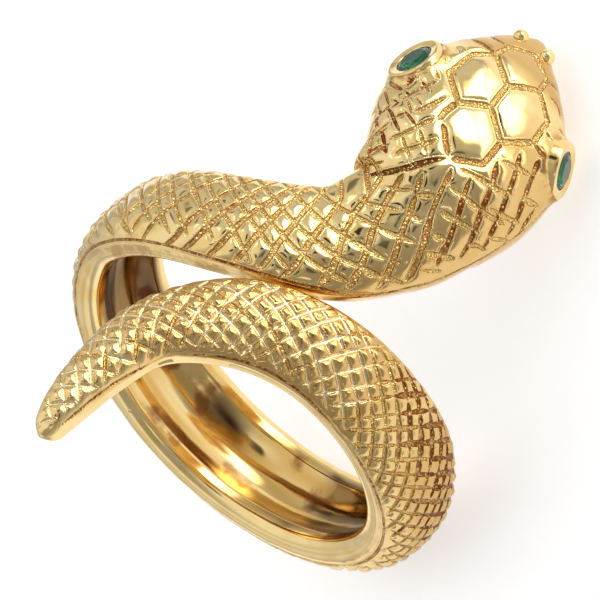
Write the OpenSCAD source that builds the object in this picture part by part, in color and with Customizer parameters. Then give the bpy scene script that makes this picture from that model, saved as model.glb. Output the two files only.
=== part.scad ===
// A gold snake ring with emerald eyes. The snake wraps a little over once round the finger,
// and its tail and head turn to lie along the finger in opposite directions.

/* [Finger] */
// radius of the round bore that the finger goes through
bore_r = 8.6; // [8.4:0.05:8.9]

/* [Body] */
// depth of the lines cut between the scales
scale_depth = 0.24; // [0.12:0.02:0.3]
// share of a scale's width that its raised top takes
scale_top = 0.5; // [0.3:0.05:0.7]
// how square the domed back is, where 2 is an ellipse
back_power = 2.3; // [2:0.1:2.8]
// width of each smooth lip that touches the finger
lip_w = 0.9; // [0.6:0.05:1.2]
// how far the rim plate stands out past the foot of the scaled back
rim_ledge = 0.12; // [0.06:0.02:0.16]

/* [Head] */
// half length of each of the four plates on top of the head
plate_long = 1.62; // [1.4:0.02:1.66]
// half width of each plate
plate_wide = 0.92; // [0.8:0.02:0.96]
// rise of a plate's middle above the line round it
plate_rise = 0.26; // [0.1:0.02:0.3]
// radius of each nostril bead
bead_r = 0.4; // [0.3:0.02:0.42]

/* [Eyes] */
// girdle radius of each round emerald
stone_r = 1.06; // [1:0.01:1.1]
// outer radius of the tube bezel round it
bezel_r = 1.52; // [1.4:0.01:1.56]
// gap between the stone and its seat
seat_gap = 0.03; // [0.02:0.01:0.05]

/* [Hidden] */
$fn = 64;

gold = [0.85, 0.68, 0.34];
emerald = [0.02, 0.36, 0.2];

// Sections across the body, from the tail tip to the snout. x runs along the finger and
// turn runs round it in degrees, both to the middle of the section. half is the half width,
// shoulder the radius where the scaled back starts, crest the radius of its top, hollow the
// depth of the channel inside, below zero where the body is solid, and steps the half scales
// from this section to the next.
X = 0;
TURN = 1;
HALF = 2;
SHOULDER = 3;
CREST = 4;
HOLLOW = 5;
STEPS = 6;
SECTIONS = [
    [14.3, -29, 0.55, 9.3, 9.8, -0.05, 5],
    [12.4, -31, 1.0, 9.4, 10.3, -0.05, 7],
    [9.4, -32, 1.4, 9.5, 10.6, -0.05, 6],
    [6.4, -29, 1.75, 9.6, 10.65, 0.3, 6],
    [3.6, -15, 2.2, 9.6, 10.6, 0.5, 6],
    [1.9, 4, 2.3, 9.6, 10.7, 0.7, 6],
    [0.8, 29, 2.4, 9.6, 10.75, 0.8, 8],
    [0.1, 59, 2.5, 9.6, 10.95, 0.8, 9],
    [-0.1, 94, 2.4, 9.6, 11.3, 0.8, 11],
    [-0.2, 137, 2.6, 9.6, 11.0, 0.8, 11],
    [0, 182, 2.7, 9.6, 10.95, 0.8, 11],
    [0.2, 225, 2.6, 9.6, 10.9, 0.8, 10],
    [0, 263, 2.6, 9.6, 10.8, 0.8, 6],
    [0.1, 286, 2.65, 9.6, 10.75, 0.8, 8],
    [-0.5, 319, 2.7, 9.6, 10.75, 0.8, 7],
    [-2.5, 344, 2.85, 9.6, 10.8, 0.9, 5],
    [-5.3, 354, 3.2, 9.6, 11.7, 1.1, 3],
    [-7.3, 355, 3.8, 9.5, 12.6, 1.4, 3],
    [-9.4, 354, 4.4, 9.5, 13.0, 1.6, 3],
    [-11.3, 351, 4.7, 9.5, 12.9, 1.6, 2],
    [-12.9, 348.5, 4.4, 9.5, 12.75, 1.4, 2],
    [-14.6, 346.5, 3.4, 9.5, 12.4, 0.8, 2],
    [-16.2, 345, 2.1, 9.6, 11.5, -0.05, 2],
    [-17.2, 344.5, 1.0, 9.9, 10.8, -0.05, 1],
    [-17.6, 344.3, 0.4, 10.1, 10.5, -0.05, 0]
];
// arc lengths round the finger are taken at this radius
arc_r = 9.6;
last = len(SECTIONS) - 1;

// The four head plates, by their middles. along is measured in sections, across in mm.
ALONG = 0;
ACROSS = 1;
PLATES = [[18.38, -0.12], [19.98, -0.9], [19.7, 1.14], [21.1, 0.32]];
// the head's top without scales, between these sections and within this half width
bare_from = 17.6;
bare_half = 2.1;

// The eyes, with columns x, turn and radius of the stone's middle, then the way it faces as
// parts along the finger, sideways and up.
RADIUS = 2;
FACES = 3;
EYES = [[-11.88, -31, 11.79, [0.04, -0.91, 0.42]], [-13.12, 11.5, 11.55, [-0.36, 0.79, 0.49]]];

// how the ring lies on its side: its turn about the finger, then the lean of the finger
lie_turn = -60.6;
lie_lean = -46.8;
lie_shift = [4.48, -0.54, 8.82];

// the body's path, smooth through the sections
function row(k) = k < 0 ? 2 * SECTIONS[0] - SECTIONS[1]
    : k > last ? 2 * SECTIONS[last] - SECTIONS[last - 1]
    : SECTIONS[k];
function seg(t) = min(floor(t), last - 1);
function blend(a, b, c, e, u) =
    b + u * ((c - a) / 2 + u * ((a - 2.5 * b + 2 * c - 0.5 * e) + u * (1.5 * (b - c) + 0.5 * (e - a))));
function slope(a, b, c, e, u) =
    (c - a) / 2 + u * (2 * (a - 2.5 * b + 2 * c - 0.5 * e) + 3 * u * (1.5 * (b - c) + 0.5 * (e - a)));
function section(t) = let(k = seg(t)) blend(row(k - 1), row(k), row(k + 1), row(k + 2), t - k);
function heading(t) =
    let(k = seg(t), d = slope(row(k - 1), row(k), row(k + 1), row(k + 2), t - k),
        dx = d[X], da = d[TURN] * PI / 180 * arc_r)
    [dx, da] / norm([dx, da]);

// a point on the section at t, v across the body and r from the finger's axis
function place(t, v, r) =
    let(s = section(t), h = heading(t), a = s[TURN] - v * h[0] / arc_r * 180 / PI)
    [s[X] + v * h[1], r * sin(a), r * cos(a)];

// the scaled back
function signed_pow(x, p) = sign(x) * pow(abs(x), p);
function back_half(s) = s[HALF] - min(rim_ledge, 0.2 * s[HALF]);
// the back's surface at f degrees from its crest, sunk by d
function back_vr(s, f, d) =
    let(w = back_half(s), h = s[CREST] - s[SHOULDER], n = [h * sin(f), w * cos(f)])
    [w * signed_pow(sin(f), 2 / back_power), s[SHOULDER] + h * pow(abs(cos(f)), 2 / back_power)]
    - d * n / norm(n);
function on_back(t, f, d) = let(q = back_vr(section(t), f, d)) place(t, q[0], q[1]);

// the lattice of scales, rings of half scales along the body by half scales across it
function steps_of(k) = max(SECTIONS[k][STEPS], 1);
STEP_T = [for (k = [0:last]) for (i = [0:1:steps_of(k) - 1]) k + i / steps_of(k)];
rings = len(STEP_T) - 1 - (len(STEP_T) - 1) % 2;
across = 10;
fan = 74;
function lat_t(i) = let(k = min(floor(i), rings - 1)) STEP_T[k] + (STEP_T[k + 1] - STEP_T[k]) * (i - k);
function lat_f(j) = fan * (2 * j / across - 1);
function is_bare(i, j) =
    let(t = lat_t(i), v = back_vr(section(t), lat_f(j), 0)[0]) t > bare_from && abs(v - 0.1) < bare_half;
function sunk(i, j) =
    is_bare(i, j) ? plate_rise * 0.6
    : j <= 0 || j >= across ? 0
    : scale_depth * min(1, section(lat_t(i))[HALF] / 1.3);
function lattice(i, j, d) = on_back(lat_t(i), lat_f(j), d);

// the rim and the channel inside, from the back's foot to the channel's middle
lip_sink = 0.06;
function under_side(s) =
    let(w = s[HALF], foot = back_half(s), lip = w - min(lip_w, 0.5 * w), low = bore_r - lip_sink,
        rise = s[HOLLOW] + lip_sink)
    [[foot, s[SHOULDER]], [foot - 0.03, s[SHOULDER] - 0.12], [w - 0.03, s[SHOULDER] - 0.16],
     [w, s[SHOULDER] - 0.24], [w, bore_r + 0.15], [w - 0.12, low], [lip, low],
     [lip * 0.85, low + rise * 0.55], [lip * 0.5, low + rise * 0.9]];
function flip(q) = [for (k = [len(q) - 1:-1:0]) [-q[k][0], q[k][1]]];
function under(s) = concat(under_side(s), [[0, bore_r + s[HOLLOW]]], flip(under_side(s)));

under_n = 19;
ring_n = across / 2 + 1 + under_n;
half_rings = rings / 2;
even_pts = [
    for (i = [0:2:rings]) let(t = lat_t(i), s = section(t)) each concat(
        [for (j = [0:2:across]) lattice(i, j, sunk(i, j))], [for (q = under(s)) place(t, q[0], q[1])])
];
odd_pts = [for (i = [1:2:rings - 1]) for (j = [1:2:across - 1]) lattice(i, j, sunk(i, j))];
// whole scales, by their middles
SCALES = concat(
    [for (i = [1:2:rings - 1]) for (j = [2:2:across - 2]) [i, j]],
    [for (i = [2:2:rings - 2]) for (j = [1:2:across - 1]) [i, j]]);
top_pts = [
    for (c = SCALES) let(d = is_bare(c[0], c[1]) ? plate_rise * 0.6 : 0, q = scale_top)
        each [lattice(c[0] - q, c[1], d), lattice(c[0], c[1] - q, d), lattice(c[0] + q, c[1], d),
              lattice(c[0], c[1] + q, d)]
];
function mean(q) = q * [for (k = q) 1] / len(q);
function ring_pts(i) = [for (k = [0:ring_n - 1]) even_pts[i / 2 * ring_n + k]];
function middle(q) = [for (c = [0:2]) mean([for (p = q) p[c]])];
odd_0 = (half_rings + 1) * ring_n;
top_0 = odd_0 + half_rings * across / 2;
end_0 = top_0 + 4 * len(SCALES);
body_pts = concat(even_pts, odd_pts, top_pts, [middle(ring_pts(0)), middle(ring_pts(rings))]);

function at_ring(i, k) = i / 2 * ring_n + k % ring_n;
function knot(i, j) = i % 2 == 0 ? at_ring(i, j / 2) : odd_0 + (i - 1) / 2 * across / 2 + (j - 1) / 2;
function scale_faces(n) =
    let(i = SCALES[n][0], j = SCALES[n][1],
        o = [knot(i - 1, j), knot(i, j - 1), knot(i + 1, j), knot(i, j + 1)],
        p = [for (k = [0:3]) top_0 + 4 * n + k])
    concat([for (k = [0:3]) let(m = (k + 1) % 4) [o[k], o[m], p[m], p[k]]], [[p[0], p[1], p[2], p[3]]]);
body_faces = concat(
    [for (n = [0:len(SCALES) - 1]) each scale_faces(n)],
    [for (i = [1:2:rings - 1]) [knot(i - 1, 0), knot(i + 1, 0), knot(i, 1)]],
    [for (i = [1:2:rings - 1]) [knot(i + 1, across), knot(i - 1, across), knot(i, across - 1)]],
    [for (j = [1:2:across - 1]) [knot(0, j - 1), knot(1, j), knot(0, j + 1)]],
    [for (j = [1:2:across - 1]) [knot(rings, j + 1), knot(rings - 1, j), knot(rings, j - 1)]],
    [for (i = [0:2:rings - 2]) for (k = [across / 2:ring_n - 1])
        [at_ring(i, k), at_ring(i + 2, k), at_ring(i + 2, k + 1), at_ring(i, k + 1)]],
    [for (k = [0:ring_n - 1]) [end_0, at_ring(0, k), at_ring(0, k + 1)]],
    [for (k = [0:ring_n - 1]) [end_0 + 1, at_ring(rings, k + 1), at_ring(rings, k)]]);

// the plates on the head, with their corners as shares of the half length and half width
PLATE_CORNERS = [[1, 0], [0.42, 1], [-0.42, 1], [-1, 0], [-0.42, -1], [0.42, -1]];
function plate_corner(k) = [PLATE_CORNERS[k][ALONG] * plate_long, PLATE_CORNERS[k][ACROSS] * plate_wide];
// sections per mm along the head
along_mm = 0.56;
// a point of plate p, scaled by q about its middle and sunk by d below the back
function plate_pt(p, k, q, d) =
    let(c = plate_corner(k) * q, t = p[ALONG] + c[0] * along_mm, v = p[ACROSS] + c[1], s = section(t),
        f = asin(signed_pow(max(-1, min(1, v / back_half(s))), back_power / 2)))
    on_back(t, f, d);
// the plate's outlines from its foot up, each as its share of the plate and of the rise it lacks
PLATE_RINGS = [[1, 1.1], [1, 0.55], [0.86, 0.12], [0.5, 0]];
module plate(p) {
    n = len(PLATE_RINGS);
    pts = concat(
        [for (g = PLATE_RINGS) for (k = [0:5]) plate_pt(p, k, g[0], g[1] * plate_rise)],
        [plate_pt(p, 0, 0, 0), plate_pt(p, 0, 0, 1.1 * plate_rise)]);
    faces = concat(
        [for (g = [0:n - 2]) for (k = [0:5]) let(m = (k + 1) % 6, o = g * 6)
            [o + k, o + m, o + 6 + m, o + 6 + k]],
        [for (k = [0:5]) let(m = (k + 1) % 6) [n * 6 - 6 + k, n * 6 - 6 + m, n * 6]],
        [for (k = [0:5]) let(m = (k + 1) % 6) [m, k, n * 6 + 1]]);
    polyhedron(points = pts, faces = faces, convexity = 4);
}

// the eyes
module at_eye(e) {
    n = e[FACES];
    translate([e[X], e[RADIUS] * sin(e[TURN]), e[RADIUS] * cos(e[TURN])])
        rotate([0, acos(n[2] / norm(n)), atan2(n[1], n[0])])
            children();
}
crown_h = 0.26;
table_r = 0.58 * stone_r;
girdle_h = 0.08;
pavilion_h = 0.8;
bezel_top = 0.24;
bezel_foot = 1.5;
rim_round = 0.14;
module bezel() {
    rotate_extrude()
        union() {
            polygon([[0, -bezel_foot], [bezel_r - 0.12, -bezel_foot], [bezel_r, bezel_top - rim_round],
                     [bezel_r - rim_round, bezel_top - rim_round], [bezel_r - rim_round, bezel_top],
                     [0, bezel_top]]);
            translate([bezel_r - rim_round, bezel_top - rim_round])
                circle(r = rim_round);
        }
}
// the pocket that holds the stone, with a lip that reaches in over its girdle
module pocket() {
    r = stone_r + seat_gap;
    mouth = stone_r - 0.13;
    rotate_extrude()
        polygon([[0, -pavilion_h - 0.12], [0.12, -pavilion_h - 0.12], [r, -girdle_h / 2 - seat_gap],
                 [r, girdle_h / 2 + seat_gap], [mouth, girdle_h / 2 + seat_gap + 0.09],
                 [mouth, bezel_top - 0.04], [mouth + 0.07, bezel_top + 0.03], [mouth + 0.07, bezel_top + 1],
                 [0, bezel_top + 1]]);
}

function circle_pts(n, r, z, a0) =
    [for (k = [0:n - 1]) let(a = a0 + 360 * k / n) [r * cos(a), r * sin(a), z]];
// a round brilliant: table, star, kite and girdle facets above, mains and halves below
module stone() {
    mid_r = 0.81 * stone_r;
    low_r = 0.44 * stone_r;
    mid_z = girdle_h / 2 + crown_h * (stone_r - mid_r) / (stone_r - table_r) * 1.14;
    low_z = -girdle_h / 2 - pavilion_h * (1 - low_r / stone_r) * 1.03;
    pts = concat(
        circle_pts(8, table_r, girdle_h / 2 + crown_h, 0), circle_pts(8, mid_r, mid_z, 22.5),
        circle_pts(16, stone_r, girdle_h / 2, 0), circle_pts(16, stone_r, -girdle_h / 2, 0),
        circle_pts(8, low_r, low_z, 22.5), [[0, 0, -girdle_h / 2 - pavilion_h]]);
    faces = concat(
        [[for (k = [7:-1:0]) k]],
        [for (k = [0:7]) let(m = (k + 1) % 8) [k, m, 8 + k]],
        [for (k = [0:7]) [k, 8 + k, 16 + 2 * k]],
        [for (k = [0:7]) [k, 16 + 2 * k, 8 + (k + 7) % 8]],
        [for (k = [0:7]) [8 + k, 17 + 2 * k, 16 + 2 * k]],
        [for (k = [0:7]) [8 + k, 16 + (2 * k + 2) % 16, 17 + 2 * k]],
        [for (k = [0:15]) let(m = (k + 1) % 16) [16 + k, 16 + m, 32 + m, 32 + k]],
        [for (k = [0:7]) [32 + 2 * k, 33 + 2 * k, 48 + k]],
        [for (k = [0:7]) [33 + 2 * k, 32 + (2 * k + 2) % 16, 48 + k]],
        [for (k = [0:7]) [32 + (2 * k + 2) % 16, 48 + (k + 1) % 8, 48 + k]],
        [for (k = [0:7]) [48 + k, 48 + (k + 1) % 8, 56]]);
    polyhedron(points = pts, faces = faces, convexity = 2);
}

// the ring as it lies, and its nodes
module lie() {
    translate(lie_shift)
        rotate([0, lie_lean, 0])
            rotate([lie_turn, 0, 0])
                children();
}
bead_along = 22.62;
bead_across = 0.7;
module bead(side) {
    s = section(bead_along);
    f = asin(signed_pow(side * bead_across / back_half(s), back_power / 2));
    translate(on_back(bead_along, f, 0.02))
        sphere(r = bead_r);
}
module gold_snake() {
    color(gold)
        lie()
            difference() {
                union() {
                    polyhedron(points = body_pts, faces = body_faces, convexity = 10);
                    for (p = PLATES)
                        plate(p);
                    for (e = EYES)
                        at_eye(e)
                            bezel();
                    bead(-1);
                    bead(1);
                }
                rotate([0, 90, 0])
                    cylinder(r = bore_r, h = 60, center = true, $fn = 128);
                for (e = EYES)
                    at_eye(e)
                        pocket();
            }
}
module left_eye_emerald() {
    color(emerald)
        lie()
            at_eye(EYES[0])
                stone();
}
module right_eye_emerald() {
    color(emerald)
        lie()
            at_eye(EYES[1])
                stone();
}

gold_snake();
left_eye_emerald();
right_eye_emerald();
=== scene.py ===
"""A gold snake ring with emerald eyes, lying on its side on a pale studio floor.

The snake is one casting that winds a little over once round the finger. Its domed back is cut with
crossing lines into scales, its head carries four smooth plates, two tube bezels and two nostril beads.
"""
import logging
import math
from dataclasses import dataclass, field
from enum import Enum

import bpy
import numpy as np
from mathutils import Matrix, Vector


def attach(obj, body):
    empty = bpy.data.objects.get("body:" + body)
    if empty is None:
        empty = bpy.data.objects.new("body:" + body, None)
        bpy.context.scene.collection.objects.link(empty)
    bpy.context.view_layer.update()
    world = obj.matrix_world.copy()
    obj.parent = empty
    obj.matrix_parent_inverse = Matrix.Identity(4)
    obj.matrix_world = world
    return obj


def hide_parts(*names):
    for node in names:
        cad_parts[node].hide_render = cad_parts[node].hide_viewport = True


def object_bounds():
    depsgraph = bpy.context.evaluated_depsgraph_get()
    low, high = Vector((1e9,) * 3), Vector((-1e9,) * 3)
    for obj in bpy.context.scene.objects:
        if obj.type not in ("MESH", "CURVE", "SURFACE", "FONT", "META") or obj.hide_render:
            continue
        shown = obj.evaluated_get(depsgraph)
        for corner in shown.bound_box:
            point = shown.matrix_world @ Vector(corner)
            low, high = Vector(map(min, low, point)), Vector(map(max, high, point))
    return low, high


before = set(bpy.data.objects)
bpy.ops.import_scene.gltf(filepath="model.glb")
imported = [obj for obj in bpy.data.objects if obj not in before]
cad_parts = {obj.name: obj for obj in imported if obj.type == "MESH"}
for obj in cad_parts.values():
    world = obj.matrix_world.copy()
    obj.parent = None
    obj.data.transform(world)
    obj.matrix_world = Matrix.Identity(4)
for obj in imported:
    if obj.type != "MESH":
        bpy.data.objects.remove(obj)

LOG = logging.getLogger("snake_ring")
MM = 0.001
# a pattern on Object coordinates, which are in metres, is scaled by this over its size in millimetres
PER_MM = 1000
CAD_BOX = [list(corner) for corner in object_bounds()]

# The part's own sections, from the tail tip to the snout: place along the finger, turn round it in
# degrees, half width, radius of the back's foot, radius of its crest, depth of the channel inside.
SECTIONS = np.array([
    (14.3, -29, 0.55, 9.3, 9.8, -0.05), (12.4, -31, 1.0, 9.4, 10.3, -0.05),
    (9.4, -32, 1.4, 9.5, 10.6, -0.05), (6.4, -29, 1.75, 9.6, 10.65, 0.3),
    (3.6, -15, 2.2, 9.6, 10.6, 0.5), (1.9, 4, 2.3, 9.6, 10.7, 0.7),
    (0.8, 29, 2.4, 9.6, 10.75, 0.8), (0.1, 59, 2.5, 9.6, 10.95, 0.8),
    (-0.1, 94, 2.4, 9.6, 11.3, 0.8), (-0.2, 137, 2.6, 9.6, 11.0, 0.8),
    (0, 182, 2.7, 9.6, 10.95, 0.8), (0.2, 225, 2.6, 9.6, 10.9, 0.8),
    (0, 263, 2.6, 9.6, 10.8, 0.8), (0.1, 286, 2.65, 9.6, 10.75, 0.8),
    (-0.5, 319, 2.7, 9.6, 10.75, 0.8), (-2.5, 344, 2.85, 9.6, 10.8, 0.9),
    (-5.3, 354, 3.2, 9.6, 11.7, 1.1), (-7.3, 355, 3.8, 9.5, 12.6, 1.4),
    (-9.4, 354, 4.4, 9.5, 13.0, 1.6), (-11.3, 351, 4.7, 9.5, 12.9, 1.6),
    (-12.9, 348.5, 4.4, 9.5, 12.75, 1.4), (-14.6, 346.5, 3.4, 9.5, 12.4, 0.8),
    (-16.2, 345, 2.1, 9.6, 11.5, -0.05), (-17.2, 344.5, 1.0, 9.9, 10.8, -0.05),
    (-17.6, 344.3, 0.4, 10.1, 10.5, -0.05)])
ALONG, TURN, HALF, SHOULDER, CREST, HOLLOW = range(6)
# The radius at which lengths round the finger are taken, the finger hole's own radius, and how
# square the back's section is, where 2 is an ellipse.
ARC_R = 9.6
BORE_R = 8.6
BACK_POWER = 2.3

# How the ring lies: its turn about the finger, the lean of the finger, and its middle.
LIE_TURN = -60.6
LIE_LEAN = -46.8
MIDDLE = np.array((4.48, -0.54, 8.82))

# Settings that many nodes share. A BLEND node takes its share at input 0 and its colours at inputs
# 6 and 7, and gives the colour at output 2.
SOFT = {"interpolation_type": "SMOOTHSTEP"}
PRODUCT = {"operation": "MULTIPLY"}
CAPPED_PRODUCT = {"operation": "MULTIPLY", "use_clamp": True}
SCALED_SUM = {"operation": "MULTIPLY_ADD"}
BLEND = {"data_type": "RGBA", "clamp_factor": True}


def lie_matrix() -> np.ndarray:
    """The turn from the ring's own axes, with x along the finger, to the row frame."""
    return np.array(Matrix.Rotation(math.radians(LIE_LEAN), 3, "Y")
                    @ Matrix.Rotation(math.radians(LIE_TURN), 3, "X"))


def lie(points: np.ndarray) -> np.ndarray:
    """Lay points of the ring down where the part lies.

    Args:
        points: Points in the ring's own axes, in millimetres.

    Returns:
        The same points in the row frame, in metres.
    """
    return (np.asarray(points) @ lie_matrix().T + MIDDLE) * MM


def linear(code: str) -> tuple[float, float, float, float]:
    """Turn a colour code into linear light.

    Args:
        code: The sRGB colour as six hex digits.

    Returns:
        Red, green, blue and alpha in linear light.
    """
    parts = [int(code[k:k + 2], 16) / 255 for k in (0, 2, 4)]
    light = [c / 12.92 if c <= 0.04045 else ((c + 0.055) / 1.055) ** 2.4 for c in parts]
    return (*light, 1.0)


def add_node(tree: bpy.types.NodeTree, kind: str, settings: dict | None = None,
             inputs: dict | None = None) -> bpy.types.Node:
    """Add one node with its settings and its links.

    Args:
        tree: The tree that the node goes into.
        kind: The node's type name.
        settings: Properties of the node, by name.
        inputs: Values, output sockets or nodes for its inputs, by name or index. A node gives its
            first output.

    Returns:
        The new node.
    """
    made = tree.nodes.new(kind)
    for key, value in (settings or {}).items():
        setattr(made, key, value)
    for key, value in (inputs or {}).items():
        if isinstance(value, bpy.types.Node):
            value = value.outputs[0]
        if isinstance(value, bpy.types.NodeSocket):
            tree.links.new(value, made.inputs[key])
        else:
            made.inputs[key].default_value = value
    return made


def smooth_step(low: float, high: float, x: np.ndarray) -> np.ndarray:
    """Go smoothly from 0 at low to 1 at high, whichever of them is larger."""
    u = np.clip((np.asarray(x, float) - low) / (high - low), 0, 1)
    return u * u * (3 - 2 * u)


def span(x: np.ndarray, start: float, full: float, fade: float, end: float) -> np.ndarray:
    """Rise smoothly from 0 at start to 1 at full, and fall again from fade to end."""
    return smooth_step(start, full, x) * smooth_step(end, fade, x)


class SnakePath:
    """The smooth path through the sections, and places on the body that it carries."""

    # the path's length is added up over this many short pieces of each section
    FINE_PIECES = 160

    def __init__(self) -> None:
        """Lay out the path and its length."""
        ends = (2 * SECTIONS[0] - SECTIONS[1], 2 * SECTIONS[-1] - SECTIONS[-2])
        self.knots = np.vstack((ends[0], SECTIONS, ends[1]))
        self.last = len(SECTIONS) - 1
        self.fine = np.linspace(0, self.last, self.last * self.FINE_PIECES + 1)
        track = self.at(self.fine)
        steps = np.hypot(np.diff(track[:, ALONG]), np.radians(np.diff(track[:, TURN])) * ARC_R)
        self.run = np.concatenate(([0.0], np.cumsum(steps)))

    def at(self, t: np.ndarray) -> np.ndarray:
        """The section's values at t, counted in sections."""
        start, slope, bend, twist, u = self._curve(t)
        return start + u * (slope + u * (bend + u * twist))

    def heading(self, t: np.ndarray) -> np.ndarray:
        """The path's direction.

        Args:
            t: Where along the path, in sections.

        Returns:
            Unit directions, along the finger and round it.
        """
        _, slope, bend, twist, u = self._curve(t)
        rate = slope + u * (2 * bend + 3 * u * twist)
        way = np.stack((rate[..., ALONG], np.radians(rate[..., TURN]) * ARC_R), -1)
        return way / np.linalg.norm(way, axis=-1, keepdims=True)

    def place(self, t: np.ndarray, v: np.ndarray, r: np.ndarray) -> np.ndarray:
        """Points of the body in the ring's own axes.

        Args:
            t: Where along the path, in sections.
            v: How far across the body, in millimetres.
            r: How far from the finger's axis, in millimetres.

        Returns:
            The points, in millimetres.
        """
        values, way = self.at(t), self.heading(t)
        turn = np.radians(values[..., TURN]) - v * way[..., 0] / ARC_R
        return np.stack((values[..., ALONG] + v * way[..., 1], r * np.sin(turn), r * np.cos(turn)), -1)

    def t_of(self, run: np.ndarray) -> np.ndarray:
        """Where along the path, in sections, this length of it ends."""
        return np.interp(run, self.run, self.fine)

    def _curve(self, t: np.ndarray) -> tuple[np.ndarray, ...]:
        """The cubic curve that passes smoothly through the knots on either side of t.

        Args:
            t: Where along the path, in sections.

        Returns:
            The curve's four terms, lowest power first, and the share of the way between the knots.
        """
        t = np.asarray(t, float)
        k = np.clip(np.floor(t).astype(int), 0, self.last - 1)
        a, b, c, e = (self.knots[k + j] for j in range(4))
        bend = a - 2.5 * b + 2 * c - 0.5 * e
        twist = 1.5 * (b - c) + 0.5 * (e - a)
        return b, (c - a) / 2, bend, twist, (t - k)[..., None]


@dataclass(frozen=True)
class Stain:
    """What has settled in a cut line: how much, how red it is and how dark."""
    amount: float
    red: float = 0.2
    dark: float = 0.0


@dataclass
class Stroke:
    """One line cut into the back, by its points (run along the body, arc across it), in millimetres.

    Its width wanders by a share of itself, and it thins towards its ends over the length of taper.
    """
    points: np.ndarray
    half: float
    stain: Stain
    wander: float = 0.0
    round_corners: bool = True
    taper: float = 0.34

    def smoothed(self) -> np.ndarray:
        """The stroke's points, with the corners cut off twice where they are to be round.

        Returns:
            The points of the smoother line.
        """
        points = self.points
        if not self.round_corners or len(points) < 3:
            return points
        for _ in range(2):
            cut = np.empty((2 * len(points) - 2, 2))
            cut[0::2] = 0.75 * points[:-1] + 0.25 * points[1:]
            cut[1::2] = 0.25 * points[:-1] + 0.75 * points[1:]
            points = np.vstack((points[:1], cut, points[-1:]))
        return points


def read_lines(text: str) -> list[np.ndarray]:
    """Read lines of points, one line of the text each, as run,arc pairs."""
    return [np.array([[float(c) for c in p.split(",")] for p in row.split()])
            for row in text.strip().splitlines()]


# The lines that the photograph shows on the head and the neck, read on the unrolled back.
PLATE_LINES = read_lines("""
83.0,2.78 84.6,3.0 85.7,1.78
84.6,0.35 85.7,1.78
84.6,0.35 83.1,0.12
83.1,0.12 81.8,1.3 83.0,2.78
83.1,0.12 82.35,-1.35 83.65,-2.45 85.15,-1.98 85.9,-1.0
85.9,-1.0 84.6,0.35
85.7,1.78 86.7,1.75 87.68,0.5 87.0,-0.75 85.9,-1.0
81.8,1.3 80.4,1.0 79.6,-0.3
79.62,-0.55 80.1,-1.05 80.85,-1.6
80.95,-1.88 81.6,-1.75 82.3,-1.42""")
SNOUT_LINES = read_lines("""
85.9,-1.0 86.1,-1.7 86.2,-2.5 86.6,-2.9
83.0,2.78 82.8,3.4 82.65,4.0
83.8,3.6 84.1,3.1
83.1,-2.75 83.4,-3.0
84.1,-2.8 84.3,-3.15
85.5,3.7 85.95,3.2 85.97,2.4
86.7,1.75 86.9,2.3 86.8,2.7
84.85,4.4 85.1,4.05 84.95,3.75
86.1,3.45 86.6,3.3
87.0,2.6 87.3,2.2
86.95,-1.0 87.0,-1.6 87.25,-2.1""")
PLATE_SHAPES = read_lines("""
83.0,2.78 84.6,3.0 85.7,1.78 84.6,0.35 83.1,0.12 81.8,1.3
84.6,0.35 83.1,0.12 82.35,-1.35 83.65,-2.45 85.15,-1.98 85.9,-1.0
85.7,1.78 86.7,1.75 87.68,0.5 87.0,-0.75 85.9,-1.0 84.6,0.35
81.8,1.3 80.4,1.0 79.6,-0.3 80.85,-1.6 82.3,-1.42 83.1,0.12""")
MID_LINE = read_lines("""
75.8,-2.7 76.6,-2.3 77.5,-1.9 78.1,-1.38 78.9,-0.92 79.45,-0.5""")
HEAD_LINES = read_lines("""
73.7,3.0 73.95,2.3 74.4,1.25 74.9,0.27 75.5,-0.3 76.3,-1.06 77.0,-1.35 77.6,-1.5
74.63,3.2 74.9,2.65 75.4,1.74 75.9,0.97 76.6,0.2 77.2,-0.36 78.1,-0.78
75.58,3.35 76.03,2.65 76.6,1.74 77.0,0.97 77.64,0.55 78.5,0.27 79.2,0.02
76.7,3.14 77.08,2.44 77.6,2.0 78.2,1.67 78.7,1.32 79.5,0.97
77.3,3.56 77.8,3.2 78.5,2.79 79.0,2.4 79.6,2.16 80.1,1.95 80.9,1.53
78.34,4.15 78.9,3.66 79.6,3.24 80.2,2.9 80.7,2.75 81.1,2.6 82.0,2.4
79.4,4.6 79.95,4.3 80.3,4.1 80.65,3.77 81.35,3.56 82.05,3.5 82.5,3.42
80.0,5.1 80.5,4.9 80.9,4.85""")
HEAD_CROSSES = read_lines("""
78.5,0.5 78.7,1.2 78.9,2.2 79.2,3.2 79.5,3.9
77.55,1.0 77.75,1.9 78.1,2.6 78.4,3.2
79.5,0.3 79.8,1.3 80.0,2.2 80.4,3.1
81.1,1.7 81.3,2.5 81.5,3.2 81.6,3.5
80.7,3.6 80.8,4.2 81.1,5.0
79.3,2.6 79.5,3.2 79.8,3.9 80.1,4.6
78.7,3.8 79.1,4.4 79.5,5.0
77.7,3.3 78.1,3.8 78.5,4.4
76.5,2.2 76.8,2.7 77.2,3.4
76.9,1.6 77.15,2.3
75.2,2.15 75.55,2.35
76.5,0.27 76.9,0.9
75.1,0.35 75.7,1.0 76.3,1.65
74.0,0.7 74.5,1.2 74.9,1.75
74.1,2.2 74.6,2.6 75.1,3.0 75.5,3.4
76.3,3.0 76.8,3.6
77.2,-0.4 77.6,0.1 77.85,0.35
76.3,-1.5 76.7,-1.1 77.3,-0.6
75.0,-1.2 75.6,-0.65 76.3,-0.1
74.3,-0.5 75.0,0.05""")
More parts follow.
